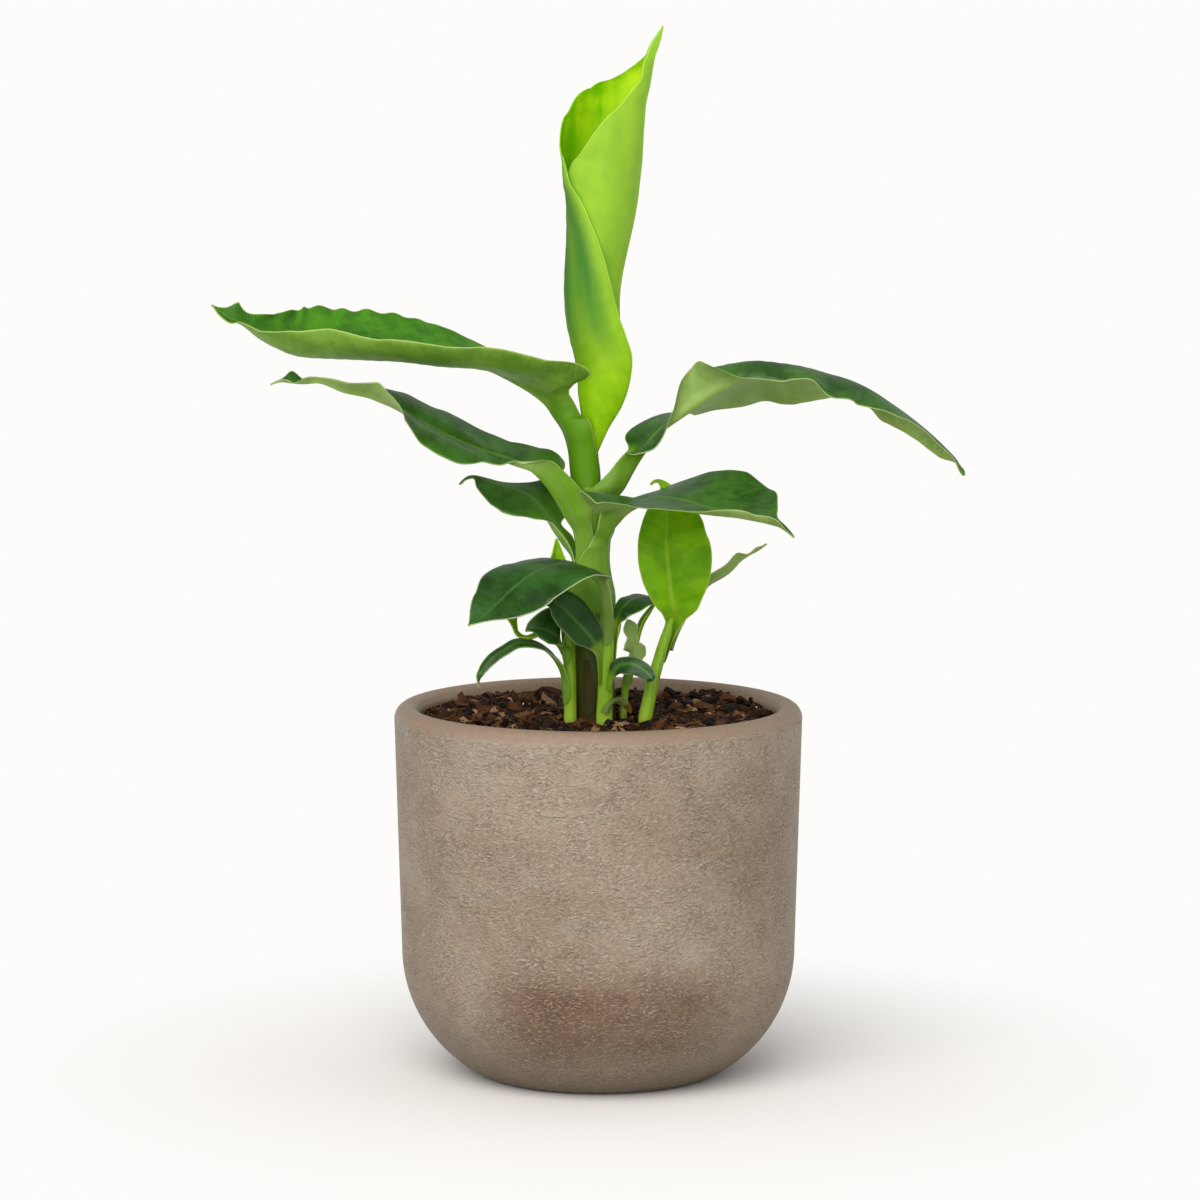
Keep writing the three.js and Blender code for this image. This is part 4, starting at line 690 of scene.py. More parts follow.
def leaf_grid(leaf, random):
    """Upper and lower points of a leaf, and pairs of values that the materials read there."""
    rows = leaf_rows(leaf)
    sheath = len(leaf.get("sheath", []))
    places = np.concatenate([[0.0], np.cumsum(np.linalg.norm(np.diff(rows[:, :3], axis=0), axis=1))])
    along = sample_places(places)
    total = places[-1]
    share = along / total
    centre, tangent, normal, sideways, values = spine(leaf, rows, places, along)
    rib = values[:, 1]
    dry_from, dry_depth = leaf.get("dry", DRY_TIP)
    phases = random.uniform(0.0, FULL_TURN, 6)
    fade = smoothstep(places[sheath] + 8.0, places[sheath] + 30.0, along)
    fade = fade * smoothstep(total, total - 12.0, along)
    full = np.ones(len(along))
    trim, thin = sheath_start(along) if sheath else (full, full)
    cells = max(5, int(math.ceil(max(values[:, 3].max(), values[:, 8].max()) / ACROSS_STEP)))
    steps = np.linspace(0.0, 1.0, cells + 1) ** 1.25
    top, bottom, from_margin, across, painted_shade_band = [], [], [], [], []
    for side, v in [(-1, v) for v in steps[::-1]] + [(1, v) for v in steps[1:]]:
        first = 3 if side < 0 else 8
        half = [values[:, first + k] for k in range(5)]
        width = half[0] * trim
        sweep = half[3]
        reach = width * v
        out, up, slope = half_bend(half, v, trim)
        face = np.cos(slope) * normal - side * np.sin(slope) * sideways
        lift = half_lift(leaf, side, v, along, reach, share, phases, fade)
        groove = 0.28 * np.maximum(rib - 1.0, 0.0) * np.exp(-((reach / (0.45 * rib + 0.2)) ** 2)) * fade
        swell = np.maximum(rib - BLADE_THICKNESS, 0.0) * np.exp(-((reach / (0.8 * rib + 0.3)) ** 2))
        point = centre + side * out[:, None] * sideways + up[:, None] * normal
        point += (sweep * v * v)[:, None] * tangent + (lift - groove)[:, None] * face
        top.append(point)
        bottom.append(point - (thin * (BLADE_THICKNESS + swell) - groove)[:, None] * face)
        from_margin.append(width * (1.0 - v))
        across.append(side * reach)
        painted_shade_band.append(painted_shade_strength(leaf, side, share, from_margin[-1]))
    top, bottom, from_margin, across, painted_shade_band = (
        np.stack(columns, axis=1) for columns in (top, bottom, from_margin, across, painted_shade_band))
    stalk = stalk_share(leaf, rows, places, along, values[:, 3] + values[:, 8])
    return top, bottom, {
        "place": (along / MAP_UNIT, across / MAP_UNIT),
        "edge": (share, from_margin / MAP_UNIT),
        "tone": (stalk, dry_depth * smoothstep(dry_from, 1.0, share)),
        "painted_shade_band": (painted_shade_band, painted_shade_band),
    }


def leaf_faces(rows, columns):
    """Faces of the upper skin, the lower skin and the rounded margin between them."""
    offset = rows * columns
    rim = 2 * offset
    upper = grid_faces(rows, columns)
    lower = [tuple(offset + corner for corner in reversed(face)) for face in upper]
    margin = []
    for i in range(rows - 1):
        here, there = i * columns, (i + 1) * columns
        margin.append((here, there, rim + i + 1, rim + i))
        margin.append((rim + i, rim + i + 1, offset + there, offset + here))
        here, there = here + columns - 1, there + columns - 1
        edge = rim + rows + i
        margin.append((there, here, edge, edge + 1))
        margin.append((edge + 1, edge, offset + here, offset + there))
    for i, turn in ((0, 1), (rows - 1, -1)):
        start, end = i * columns, (i + 1) * columns - 1
        for here in range(start, end):
            margin.append((here + 1, here, offset + here, offset + here + 1)[::turn])
        margin.append((start, rim + i, offset + start)[::turn])
        margin.append((end, offset + end, rim + rows + i)[::turn])
    return upper, lower, margin


def make_leaf(name, leaf, upper_skin, lower_skin, random):
    top, bottom, values = leaf_grid(leaf, random)
    rows, columns = top.shape[:2]
    rims = []
    for edge, neighbour in ((0, 1), (-1, -2)):
        outward = unit(top[:, edge] - top[:, neighbour])
        rims.append((top[:, edge] + bottom[:, edge]) / 2 + MARGIN_BULGE * BLADE_THICKNESS * outward)
    points = np.concatenate([top.reshape(-1, 3), bottom.reshape(-1, 3)] + rims)
    upper, lower, margin = leaf_faces(rows, columns)
    face_looks = [0] * len(upper) + [1] * len(lower) + [0] * len(margin)

    def at_points(values):
        """Values for both skins and both rims, from one for each row or for each point."""
        if values.ndim == 1:
            values = np.repeat(values[:, None], columns, axis=1)
        return np.concatenate([values.ravel(), values.ravel(), values[:, 0], values[:, -1]])

    maps = {label: np.stack([at_points(first), at_points(second)], axis=1)
            for label, (first, second) in values.items()}
    add_mesh(name + "_blade", points, upper + lower + margin, [upper_skin, lower_skin], [name],
             face_looks, maps, sharp_angle=62)


# Materials

def linear(hex_colour):
    """A colour written in hex, in the linear values that a shader wants."""
    values = [int(hex_colour[i:i + 2], 16) / 255.0 for i in (1, 3, 5)]
    return tuple(v / 12.92 if v <= 0.04045 else ((v + 0.055) / 1.055) ** 2.4 for v in values) + (1.0,)


class Value:
    """An output of a node. Arithmetic with it adds maths nodes."""

    def __init__(self, look, socket):
        self.look = look
        self.socket = socket

    def __add__(self, other):
        return self.look.maths("ADD", self, other)

    def __sub__(self, other):
        return self.look.maths("SUBTRACT", self, other)

    def __mul__(self, other):
        return self.look.maths("MULTIPLY", self, other)


class Look:
    """A material's node tree, with short calls for the nodes used here."""

    def __init__(self, name):
        self.material = bpy.data.materials.new(name)
        self.material.use_nodes = True
        self.tree = self.material.node_tree
        self.tree.nodes.clear()

    def node(self, kind, inputs, **settings):
        """A new node. An input is another node's value, a plain value, or a colour in hex."""
        made = self.tree.nodes.new("ShaderNode" + kind)
        for key, value in settings.items():
            setattr(made, key, value)
        for key, value in inputs.items():
            if isinstance(value, Value):
                self.tree.links.new(value.socket, made.inputs[key])
            else:
                made.inputs[key].default_value = linear(value) if isinstance(value, str) else value
        return made

    def out(self, kind, inputs, output=0, **settings):
        return Value(self, self.node(kind, inputs, **settings).outputs[output])

    def maths(self, operation, first, second=0.0):
        return self.out("Math", {0: first, 1: second}, operation=operation)

    def fade(self, value, low, high, start=0.0, end=1.0):
        """Start below low, end above high, and a smooth change between."""
        return self.out("MapRange", {"Value": value, "From Min": low, "From Max": high,
                                     "To Min": start, "To Max": end}, interpolation_type="SMOOTHSTEP")

    def mix(self, share, first, second):
        return self.out("Mix", {0: share, 6: first, 7: second}, 2, data_type="RGBA")

    def surface_point(self, scale=(1.0, 1.0, 1.0), turn=(0.0, 0.0, 0.0)):
        coordinates = self.out("TexCoord", {}, "Object")
        return self.out("Mapping", {"Vector": coordinates, "Scale": scale, "Rotation": turn})

    def stretched(self, vector, factor, turn=0.0):
        """The same place on a sheet that is drawn out one way."""
        return self.out("Mapping", {"Vector": vector, "Rotation": (0.0, 0.0, turn),
                                    "Scale": (factor, 1.0, 1.0)}, vector_type="TEXTURE")

    def parts(self, vector):
        return [Value(self, socket) for socket in self.node("SeparateXYZ", {0: vector}).outputs]

    def from_axis(self, point):
        """Distance from the Z axis."""
        side, depth, _ = self.parts(point)
        return self.maths("SQRT", side * side + depth * depth)

    def map_value(self, label):
        """The two values of a UV map, in the map's own units."""
        return self.parts(self.out("UVMap", {}, uv_map=label))[:2]

    def pair(self, first, second):
        return self.out("CombineXYZ", {0: first, 1: second})

    def noise(self, vector, scale, detail=3.0, roughness=0.5, distortion=0.0):
        return self.out("TexNoise", {"Vector": vector, "Scale": scale, "Detail": detail,
                                     "Roughness": roughness, "Distortion": distortion})

    def bump(self, height, strength, distance):
        return self.out("Bump", {"Height": height, "Strength": strength, "Distance": distance})

    def end(self, shader):
        self.node("OutputMaterial", {0: shader})
        return self.material

    def finish(self, inputs, glow=None, through=0.0):
        """End the material; glow is the colour of light that comes through from the far side."""
        shader = self.out("BsdfPrincipled", inputs)
        if glow is not None:
            behind = self.out("BsdfTranslucent", {"Color": glow})
            shader = self.out("MixShader", {0: through, 1: shader, 2: behind})
        return self.end(shader)


def leaf_look(name, main, deep, rib, margin, petiole, through, vein, roughness=0.36, gloss=0.3,
              painted_shade_band="#3f7a1c", margin_share=0.6, relief=0.22, lit=None, grain=0.0, bloom=None):
    """A leaf skin: cloudy tones, parallel side veins, midrib, margin line, stalk and dry tip."""
    look = Look(name)
    along, across = look.map_value("place")
    share, from_margin = look.map_value("edge")
    stalk, dryness = look.map_value("tone")
    in_painted_shade, _ = look.map_value("painted_shade_band")
    along = along * MAP_UNIT
    reach = look.maths("ABSOLUTE", across) * MAP_UNIT
    point = look.surface_point()
    cloud = look.noise(point, 45.0)
    vein_place = along - reach * 0.4 + look.noise(point, 90.0, 1.0) * 2.5
    fine = look.maths("SINE", vein_place * 4.6)
    streak = look.noise(look.pair(vein_place * 0.45, reach * 0.035), 1.0, 3.0, 0.6)
    mottle = look.noise(point, 190.0, 3.0, 0.6)
    strand = look.noise(look.pair(along * 0.02, reach * 0.4), 1.0, 3.0, 0.6)
    broad = look.noise(look.pair(along * 0.012, reach * 0.11), 1.0, 2.0)
    tone = cloud * 0.65 + streak * 0.12 + mottle * 0.33 + (broad - 0.5) * grain
    colour = look.mix(look.fade(tone, 0.4, 0.7), deep, main)
    if bloom is not None:
        colour = look.mix(look.fade(share, 0.1, 0.55, 0.0, 0.5), colour, bloom)
    # Painted shade: the stripe on the unfurling leaf's left half is mixed towards a darker green here.
    colour = look.mix(in_painted_shade * look.fade(broad, 0.35, 0.65, 0.95, 0.7), colour, painted_shade_band)
    colour = look.mix(look.fade(fine, 0.55, 1.0, 0.0, vein), colour, rib)
    rib_width = look.fade(share, 0.0, 1.0, 1.5, 0.35)
    colour = look.mix(look.fade(reach - rib_width, -0.9, 0.6, 0.5, 0.0), colour, rib)
    stalk_colour = look.mix(look.fade(strand, 0.35, 0.65, 0.6, 1.0), deep, petiole)
    stalk_colour = look.mix(look.fade(cloud, 0.45, 0.65, 0.0, 0.3), stalk_colour, deep)
    colour = look.mix(stalk * 0.95, colour, stalk_colour)
    edge = look.fade(from_margin * MAP_UNIT, 0.12, 0.6, margin_share, 0.0)
    edge = edge * look.fade(stalk, 0.2, 0.9, 1.0, 0.9) * look.fade(along, 5.0, 18.0)
    colour = look.mix(edge, colour, margin)
    spots = look.fade(dryness + cloud * 0.5, 0.45, 0.75) * look.fade(dryness, 0.0, 0.1)
    colour = look.mix(spots, colour, DRY_COLOUR)
    height = fine * 0.25 + streak * 0.7 + look.noise(point, 60.0, 1.0) * 20.0
    height = height * look.maths("SUBTRACT", 1.0, stalk * 0.7)
    return look.finish({
        "Base Color": colour,
        "Roughness": look.fade(strand, 0.3, 0.7, roughness - 0.1, roughness + 0.1),
        "Specular IOR Level": gloss,
        "Normal": look.bump(height, relief, 0.0004),
    }, colour if lit is None else look.mix(0.6, colour, lit), through)


def stem_look(name, main, deep, foot, brown, foot_height):
    """A stem: long fine streaks, paler and darker patches, and brown towards the foot."""
    look = Look(name)
    _, above = look.map_value("place")
    streak = look.noise(look.surface_point((1.0, 1.0, 0.08)), 700.0, 3.0, 0.6)
    cloud = look.noise(look.surface_point((1.0, 1.0, 0.35)), 90.0)
    colour = look.mix(look.fade(streak, 0.35, 0.7), deep, main)
    colour = look.mix(look.fade(cloud, 0.45, 0.75, 0.0, 0.5), colour, deep)
    low = above + cloud * 0.12
    colour = look.mix(look.fade(low, foot_height * 0.4, foot_height, 1.0, 0.0), colour, foot)
    colour = look.mix(look.fade(low, foot_height * 0.15, foot_height * 0.4, 0.9, 0.0), colour, brown)
    return look.finish({
        "Base Color": colour,
        "Roughness": look.fade(cloud, 0.3, 0.7, 0.36, 0.5),
        "Subsurface Weight": 0.2,
        "Subsurface Radius": (0.6, 1.0, 0.25),
        "Subsurface Scale": 0.002,
        "Specular IOR Level": 0.2,
        "Normal": look.bump(streak, 0.35, 0.0003),
    })


def pot_look():
    """Taupe fired clay: cloudy tones, pale grey patches of painted sheen, a brown patch low on the
    front, painted shade towards the foot, and fine wrinkles pressed in, with painted highlights
    on their crests and painted shade in their dips.
    """
    look = Look("pot_clay")
    point = look.surface_point()
    side, depth, height = look.parts(point)
    reach = look.from_axis(point)
    around = look.maths("ARCTAN2", side, depth * -1.0) * 0.092
    turned_in = look.maths("SUBTRACT", 0.0945, reach) * look.fade(height, 0.1, 0.13, -1.0, 1.0)
    sheet = look.pair(around, height + turned_in)
    cloud = look.noise(point, 13.0, 2.0)
    tone_and_sheen_patches = look.noise(look.surface_point((1.0, 1.0, 1.3), (0.0, 0.0, 1.0)), 30.0, 3.0, 0.55)
    colour = look.mix(look.fade(cloud, 0.35, 0.65), "#907d69", "#9f8d7a")
    # Painted sheen: pale grey patches at random places on the wall.
    colour = look.mix(look.fade(tone_and_sheen_patches, 0.5, 0.72, 0.0, 0.55), colour, "#a2978a")
    colour = look.mix(look.fade(tone_and_sheen_patches, 0.3, 0.46, 0.4, 0.0), colour, "#7f6953")
    low_band = look.fade(height, 0.012, 0.03) * look.fade(height, 0.05, 0.07, 1.0, 0.0)
    spot = look.fade(look.maths("ABSOLUTE", around - 0.006), 0.03, 0.075, 1.0, 0.1)
    colour = look.mix(low_band * spot * look.fade(tone_and_sheen_patches, 0.3, 0.55, 0.6, 0.95), colour, "#6d523c")
    # Painted shade: darker towards the foot, where the wall curves in underneath.
    colour = look.mix(look.fade(height, 0.0, 0.045, 0.75, 0.0), colour, "#6a5b48")
    lip = look.fade(height, 0.168, 0.1715)
    colour = look.mix(lip * 0.75, colour, "#86705d")
    inside = look.fade(reach, 0.0872, 0.0845) * look.fade(height, 0.12, 0.13)
    colour = look.mix(inside * 0.9, colour, "#846f5b")

    # Wrinkles run a different way in each patch of the wall
    ways = look.noise(sheet, 85.0, 1.0)
    wrinkle = look.noise(look.stretched(sheet, 2.8, 0.04), 1250.0, 1.0, 0.5, 0.9)
    for turn, low, high in ((0.5, 0.44, 0.5), (-0.4, 0.53, 0.59)):
        lines = look.noise(look.stretched(sheet, 2.8, turn), 1250.0, 1.0, 0.5, 0.9)
        wrinkle = look.mix(look.fade(ways, low, high), wrinkle, lines)
    plain = look.maths("SUBTRACT", 1.0, look.maths("MAXIMUM", lip * 0.7, inside))
    strength = look.fade(look.noise(sheet, 55.0, 2.0), 0.38, 0.62, 0.65, 1.0) * plain
    dents = look.noise(sheet, 900.0, 3.0, 0.65)
    marks = look.noise(look.stretched(sheet, 7.0), 230.0, 1.0, 0.5, 0.3)
    mark = look.fade(marks, 0.71, 0.76) * plain
    relief = wrinkle * strength + dents * 0.5 + mark * 0.5
    # Painted highlight on the wrinkle crests and painted shade in their dips, on top of the bump; the
    # scratch marks are a little lighter too.
    painted_crest_highlight = look.fade(wrinkle, 0.52, 0.66) * (strength * 0.5)
    colour = look.mix(look.maths("MAXIMUM", painted_crest_highlight, mark * 0.25), colour, "#bcb0a0")
    painted_dip_shade = look.fade(wrinkle, 0.34, 0.48, 1.0, 0.0) * (strength * 0.45)
    colour = look.mix(painted_dip_shade, colour, "#5e4f3e")
    return look.finish({
        "Base Color": colour,
        "Roughness": look.fade(cloud, 0.3, 0.7, 0.42, 0.58) - lip * 0.12,
        "Specular IOR Level": 0.26,
        "Normal": look.bump(relief * plain, 1.0, 0.0018),
    })


def soil_look():
    look = Look("soil_bed")
    point = look.surface_point()
    grain = look.noise(point, 420.0, 5.0, 0.7)
    # Near black between the grains: partly the mix's own dark fines, partly painted shade in the gaps
    # between the chips.
    colour = look.mix(look.fade(grain, 0.35, 0.7), "#070402", "#2c190c")
    colour = look.mix(look.fade(look.noise(point, 60.0), 0.5, 0.8, 0.0, 0.5), colour, "#4c3018")
    return look.finish({"Base Color": colour, "Roughness": 0.95, "Specular IOR Level": 0.05,
                        "Normal": look.bump(grain, 1.0, 0.002)})


def bark_look():
    """Bark: each chip has its own tone, with a fine grain."""
    look = Look("bark")
    tone, _ = look.map_value("tone")
    grain = look.noise(look.surface_point(), 900.0, 3.0, 0.6)
    colour = look.mix(look.fade(tone, 0.0, 0.55), "#150a04", "#5f3719")
    colour = look.mix(look.fade(tone, 0.6, 1.0), colour, "#b08a62")
    colour = look.mix(look.fade(grain, 0.3, 0.75, 0.5, 0.0), colour, "#190e08")
    return look.finish({"Base Color": colour, "Roughness": look.fade(grain, 0.3, 0.7, 0.45, 0.8),
                        "Specular IOR Level": 0.12, "Normal": look.bump(grain, 0.6, 0.0006)})


def speck_look():
    look = Look("white_specks")
    grain = look.noise(look.surface_point(), 1500.0, 2.0)
    return look.finish({"Base Color": look.mix(grain, "#e4dccd", "#fbf6ea"), "Roughness": 0.8})


def floor_look():
    """Pale matt floor round the pot, which melts into the backdrop further out."""
    look = Look("studio_floor")
    away = look.fade(look.from_axis(look.surface_point()), *FLOOR_BLEND)
    matt = look.out("BsdfDiffuse", {"Color": FLOOR_COLOUR})
    glow = look.out("Emission", {"Color": BACKDROP, "Strength": 1.0})
    return look.end(look.out("MixShader", {0: away, 1: matt, 2: glow}))


# Pot

def pot_radius(z):
    if z >= POT_SHOULDER_HEIGHT:
        rise = (z - POT_SHOULDER_HEIGHT) / (POT_HEIGHT - POT_SHOULDER_HEIGHT)
        return POT_SHOULDER_RADIUS + (POT_RIM_RADIUS - POT_SHOULDER_RADIUS) * rise
    depth = (POT_SHOULDER_HEIGHT - z) / POT_BELLY_HEIGHT
    return POT_SHOULDER_RADIUS - POT_BELLY_DEPTH + POT_BELLY_DEPTH * math.sqrt(1 - depth * depth)


def pot_inner_radius(z):
    return pot_radius(z) - POT_WALL


def make_pot(look):
    base = pot_radius(0)
    profile = [(base - 12, 0), (base - 4, 0), (base - POT_FOOT_ROUNDING, 0.02), (base - 0.5, 0.3)]
    lip_centre = POT_HEIGHT - POT_LIP_RADIUS
    outside = np.concatenate([np.linspace(1.0, POT_SHOULDER_HEIGHT, POT_BELLY_STEPS),
                              np.linspace(POT_SHOULDER_HEIGHT, lip_centre, POT_WALL_STEPS)[1:]])
    profile += [(pot_radius(z), z) for z in outside]
    middle = (pot_radius(lip_centre) + pot_inner_radius(lip_centre)) / 2
    for angle in np.linspace(0, math.pi, POT_LIP_STEPS)[1:]:
        profile.append((middle + POT_WALL / 2 * math.cos(angle),
                        lip_centre + POT_LIP_RADIUS * math.sin(angle)))
    inside = np.linspace(lip_centre, POT_FLOOR, POT_WALL_STEPS)[1:]
    profile += [(pot_inner_radius(z), z) for z in inside]
    profile = np.asarray(profile)
    rings = rings_at(profile[:, 0:1], profile[:, 1:2], POT_SIDES)
    points, faces = closed_stack(rings, [0, 0, 0], [0, 0, POT_FLOOR])
    add_mesh("pot_shell", points, faces, [look], ["pot"], sharp_angle=70)


# Bark mix

def soil_height(x, y):
    """Height of the bark mix: a shallow dish with low heaps, most of them at the back."""
    rise = SOIL_DISH_RISE * (np.hypot(x, y) / SOIL_DISH_RADIUS) ** 2
    for top, middle_x, middle_y, width, depth in SOIL_HEAPS:
        rise = rise + top * np.exp(-(((x - middle_x) / width) ** 2 + ((y - middle_y) / depth) ** 2))
    rise = rise + 0.55 * np.sin(x / 5.3 + 1.1) * np.sin(y / 4.7) + 0.4 * np.sin(x / 2.3 + y / 3.1)
    return SOIL_MIDDLE_HEIGHT - SOIL_SINK + rise


def make_soil(look, random):
    top_edge = pot_inner_radius(SOIL_MIDDLE_HEIGHT) - SOIL_WALL_GAP
    crown = rings_at(np.linspace(1.2, top_edge, SOIL_RINGS)[:, None], 0.0, SOIL_SIDES)
    x, y = crown[..., 0], crown[..., 1]
    crown[..., 2] = soil_height(x, y) + random.uniform(-0.45, 0.45, x.shape)
    reaches = [[pot_inner_radius(z) - SOIL_WALL_GAP] for z in SOIL_WALL_HEIGHTS]
    wall = rings_at(np.array(reaches), np.array(SOIL_WALL_HEIGHTS)[:, None], SOIL_SIDES)
    points, faces = closed_stack(np.concatenate([wall, crown[::-1]]), [0, 0, SOIL_WALL_HEIGHTS[0]],
                                 [0, 0, float(soil_height(0.0, 0.0))])
    add_mesh("soil_bed", points, faces, [look], ["soil"])


def scatter_place(random, margin):
    """A free place on the bark mix, clear of the stems."""
    while True:
        reach = (pot_inner_radius(SOIL_MIDDLE_HEIGHT) - margin) * math.sqrt(random.uniform(0, 1))
        angle = random.uniform(0, FULL_TURN)
        x, y = reach * math.cos(angle), reach * math.sin(angle)
        clear = all(math.hypot(x - rows[1][0], y - rows[1][1]) > rows[1][3] + margin * 0.45
                    for rows in STEMS.values())
        if clear:
            return x, y


def turn_matrix(random, tilt):
    """A heading all round, then a tilt of the piece in its own frame."""
    heading = random.uniform(0, FULL_TURN)
    pitch = random.normal(0, tilt)
    lean = random.normal(0, tilt)
    return np.array(Euler((lean, pitch, heading)).to_matrix())


def chip_shape(random, length, width, thickness):
    """An uneven flake of bark: two five- to eight-sided outlines, the lower a little larger."""
    corners = int(random.integers(5, 9))
    angles = np.sort(full_circle(corners) + random.uniform(-0.3, 0.3, corners))
    reach = random.uniform(0.72, 1.08, corners)
    x = length / 2 * reach * np.cos(angles)
    y = width / 2 * reach * np.sin(angles)
    bow = 0.22 * length * random.uniform(-1, 1)
    arch = bow * ((2 * x / length) ** 2 - 0.5)
    rough = random.uniform(-0.12, 0.12, corners) * thickness
    upper = np.stack([x * 0.84, y * 0.8, thickness / 2 + arch + rough], 1)
    lower = np.stack([x, y, -thickness / 2 + arch], 1)
    middles = [[0, 0, thickness * 0.62 - bow * 0.5], [0, 0, -thickness * 0.55 - bow * 0.5]]
    points = np.concatenate([upper, lower, middles])
    faces = []
    for j in range(corners):
        right = (j + 1) % corners
        faces.append((corners + j, corners + right, right, j))
        faces.append((2 * corners, j, right))
        faces.append((2 * corners + 1, corners + right, corners + j))
    return points, faces


class Heap:
    """Collects many small shapes into one mesh."""

    def __init__(self):
        self.points = []
        self.faces = []
        self.tones = []
        self.count = 0

    def add(self, points, faces, tone):
        self.points.append(points)
        self.faces += [tuple(self.count + corner for corner in face) for face in faces]
        self.tones.append(np.full((len(points), 2), float(tone)))
        self.count += len(points)

    def piece(self, name, look, sharp_angle=None):
        add_mesh(name, np.concatenate(self.points), self.faces, [look],
                 maps={"tone": np.concatenate(self.tones)}, sharp_angle=sharp_angle)


def make_chips(look, random):
    heap = Heap()
    for _ in range(CHIP_COUNT):
        size = random.gamma(3.0, 1.0)
        length = float(np.clip(2.0 + 2.1 * size, 2.6, 17.0))
        width = length * random.uniform(0.2, 0.5)
        thickness = float(np.clip(length * random.uniform(0.12, 0.3), 0.6, 2.6))
        x, y = scatter_place(random, 2.0 + 0.4 * length)
        points, faces = chip_shape(random, length, width, thickness)
        points = points @ turn_matrix(random, 0.42).T
        points += [x, y, soil_height(x, y) + random.uniform(-0.4, 1.9)]
        tone = random.beta(0.8, 2.6) if random.uniform() < 0.93 else random.uniform(0.8, 1.0)
        heap.add(points, faces, tone)
    heap.piece("bark_chips", look, 28)


def make_crumbs(look, random, name, count, sizes, tones):
    """Small crumbs: eight-faced grains with uneven corners."""
    heap = Heap()
    corners = np.array([[1, 0, 0], [-1, 0, 0], [0, 1, 0], [0, -1, 0], [0, 0, 1], [0, 0, -1]], dtype=float)
    faces = [(0, 2, 4), (2, 1, 4), (1, 3, 4), (3, 0, 4), (2, 0, 5), (1, 2, 5), (3, 1, 5), (0, 3, 5)]
    for _ in range(count):
        size = random.uniform(*sizes)
        x, y = scatter_place(random, 1.2)
        points = corners * size * random.uniform(0.6, 1.3, (6, 1)) * [1.0, 0.8, 0.7]
        points = points @ turn_matrix(random, 0.8).T
        points += [x, y, soil_height(x, y) + random.uniform(0, 0.8)]
        heap.add(points, faces, random.uniform(*tones))
    heap.piece(name, look)


def make_fibres(look, random):
    """Thin curved shreds of bark, each a narrow four-sided rod."""
    heap = Heap()
    t = np.linspace(-0.5, 0.5, FIBRE_STEPS)
    ring = np.array([[0, 1, 0], [0, 0, 0.6], [0, -1, 0], [0, 0, -0.6]])
    end = FIBRE_STEPS * 4
    faces = grid_faces(FIBRE_STEPS, 4, closed=True)
    faces += [(3, 2, 1, 0), (end - 4, end - 3, end - 2, end - 1)]
    for _ in range(FIBRE_COUNT):
        length = random.uniform(5, 18)
        half = random.uniform(0.12, 0.32)
        x, y = scatter_place(random, 3.0 + 0.4 * length)
        bow = random.uniform(-0.25, 0.25) * length
        curl = random.uniform(-0.12, 0.12) * length
        line = np.stack([t * length, bow * (t * t * 4 - 0.5), curl * t * t * 4], 1)
        thin = half * (1 - 0.8 * (np.abs(t) * 2) ** 2)
        points = (line[:, None, :] + ring[None] * thin[:, None, None]).reshape(-1, 3)
        points = points @ turn_matrix(random, 0.16).T
        points += [x, y, soil_height(x, y) + random.uniform(0.6, 2.0)]
        heap.add(points, faces, random.uniform(0.45, 1.0))
    heap.piece("bark_fibres", look)


# Studio

def add_camera():
    data = bpy.data.cameras.new("camera")
    data.lens = CAMERA_LENS
    data.sensor_width = CAMERA_SENSOR
    data.clip_end = CAMERA_REACH
    camera = bpy.data.objects.new("camera", data)
    camera.location = [value * MM for value in CAMERA_PLACE]
    camera.rotation_euler = (math.radians(90.0 - CAMERA_PITCH_DOWN), 0.0, 0.0)
    bpy.context.scene.collection.objects.link(camera)
    bpy.context.scene.camera = camera


def add_light(name, place, size, power, colour):
    data = bpy.data.lights.new(name, "AREA")
    data.shape = "RECTANGLE"
    data.size, data.size_y = size
    data.energy = power
    data.color = colour
    light = bpy.data.objects.new(name, data)
    light.location = place
    aim = np.asarray(LIGHT_TARGET) - np.asarray(place)
    flat = math.hypot(aim[0], aim[1])
    light.rotation_euler = (math.atan2(flat, -aim[2]), 0.0, math.atan2(aim[1], aim[0]) - math.pi / 2)
    bpy.context.scene.collection.objects.link(light)


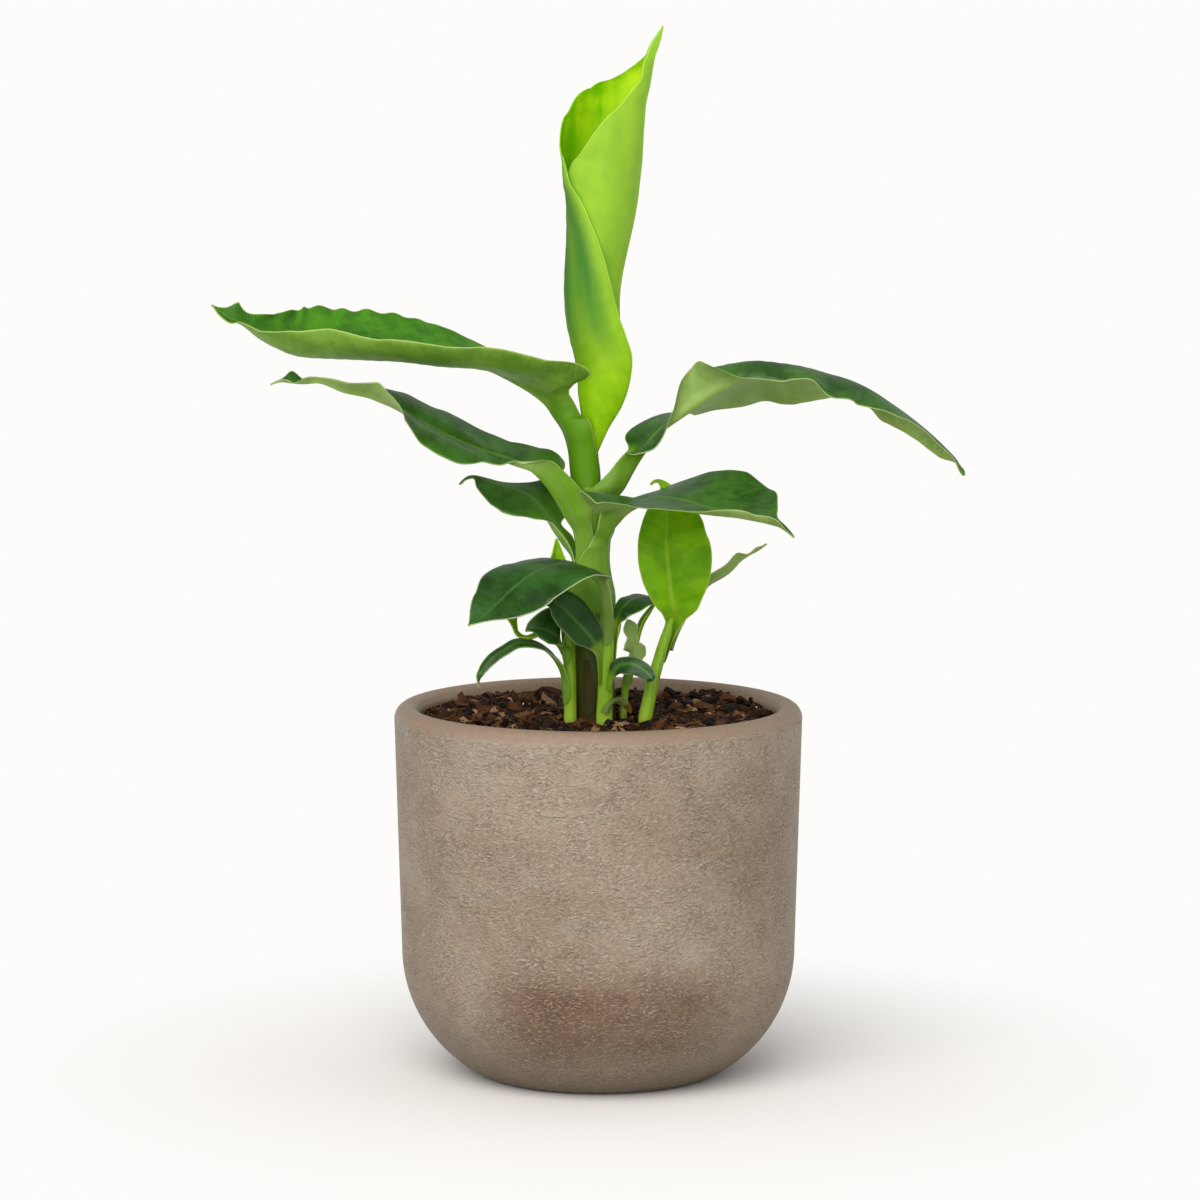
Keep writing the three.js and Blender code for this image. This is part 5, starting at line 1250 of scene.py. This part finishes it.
def add_world():
    """A dome of soft light, which the camera sees as a plain backdrop."""
    world = bpy.data.worlds.new("studio")
    world.use_nodes = True
    tree = world.node_tree
    dome = tree.nodes["Background"]
    dome.inputs[0].default_value = DOME_COLOUR
    dome.inputs[1].default_value = DOME_STRENGTH
    backdrop = tree.nodes.new("ShaderNodeBackground")
    backdrop.inputs[0].default_value = BACKDROP
    path = tree.nodes.new("ShaderNodeLightPath")
    choice = tree.nodes.new("ShaderNodeMixShader")
    tree.links.new(path.outputs["Is Camera Ray"], choice.inputs[0])
    tree.links.new(dome.outputs[0], choice.inputs[1])
    tree.links.new(backdrop.outputs[0], choice.inputs[2])
    tree.links.new(choice.outputs[0], tree.nodes["World Output"].inputs[0])
    bpy.context.scene.world = world


def add_studio():
    scene = bpy.context.scene
    scene.view_settings.view_transform = "Standard"
    add_world()
    for name, settings in LIGHTS.items():
        add_light(name, *settings)
    mesh = bpy.data.meshes.new("floor")
    line = np.linspace(-FLOOR_REACH, FLOOR_REACH, FLOOR_STEPS + 1)
    points = [(float(x), float(y), 0.0) for y in line for x in line]
    mesh.from_pydata(points, [], grid_faces(FLOOR_STEPS + 1, FLOOR_STEPS + 1))
    mesh.materials.append(floor_look())
    floor = bpy.data.objects.new("floor", mesh)
    floor.location = (0.0, 0.0, -FLOOR_SINK)
    scene.collection.objects.link(floor)


def build():
    add_camera()
    add_studio()
    make_pot(pot_look())
    soil_random = np.random.default_rng(SOIL_SEED)
    make_soil(soil_look(), soil_random)
    bark = bark_look()
    make_chips(bark, soil_random)
    make_crumbs(bark, soil_random, "bark_crumbs", CRUMB_COUNT, (0.35, 1.1), (0.0, 0.8))
    make_fibres(bark, soil_random)
    make_crumbs(speck_look(), soil_random, "white_specks", SPECK_COUNT, (0.45, 1.0), (0.9, 1.0))
    main_look = stem_look("main_stem_skin", "#5f8a10", "#476f0a", "#3e480c", "#3a2a16", 0.75)
    shoot_look = stem_look("shoot_skin", "#8ab42a", "#749c1e", "#96b834", "#8a8430", 0.22)
    for name in STEMS:
        make_stem(name, main_look if name == "main_stem" else shoot_look)
    skins = {name: leaf_look(name, *colours, **rest) for name, (*colours, rest) in LEAF_SKINS.items()}
    leaf_random = np.random.default_rng(LEAF_SEED)
    for name, leaf in LEAVES.items():
        slot, upper, lower = LEAF_KINDS[leaf["kind"]]
        make_leaf(name, leaf, skins[upper], skins[lower], leaf_random)


build()
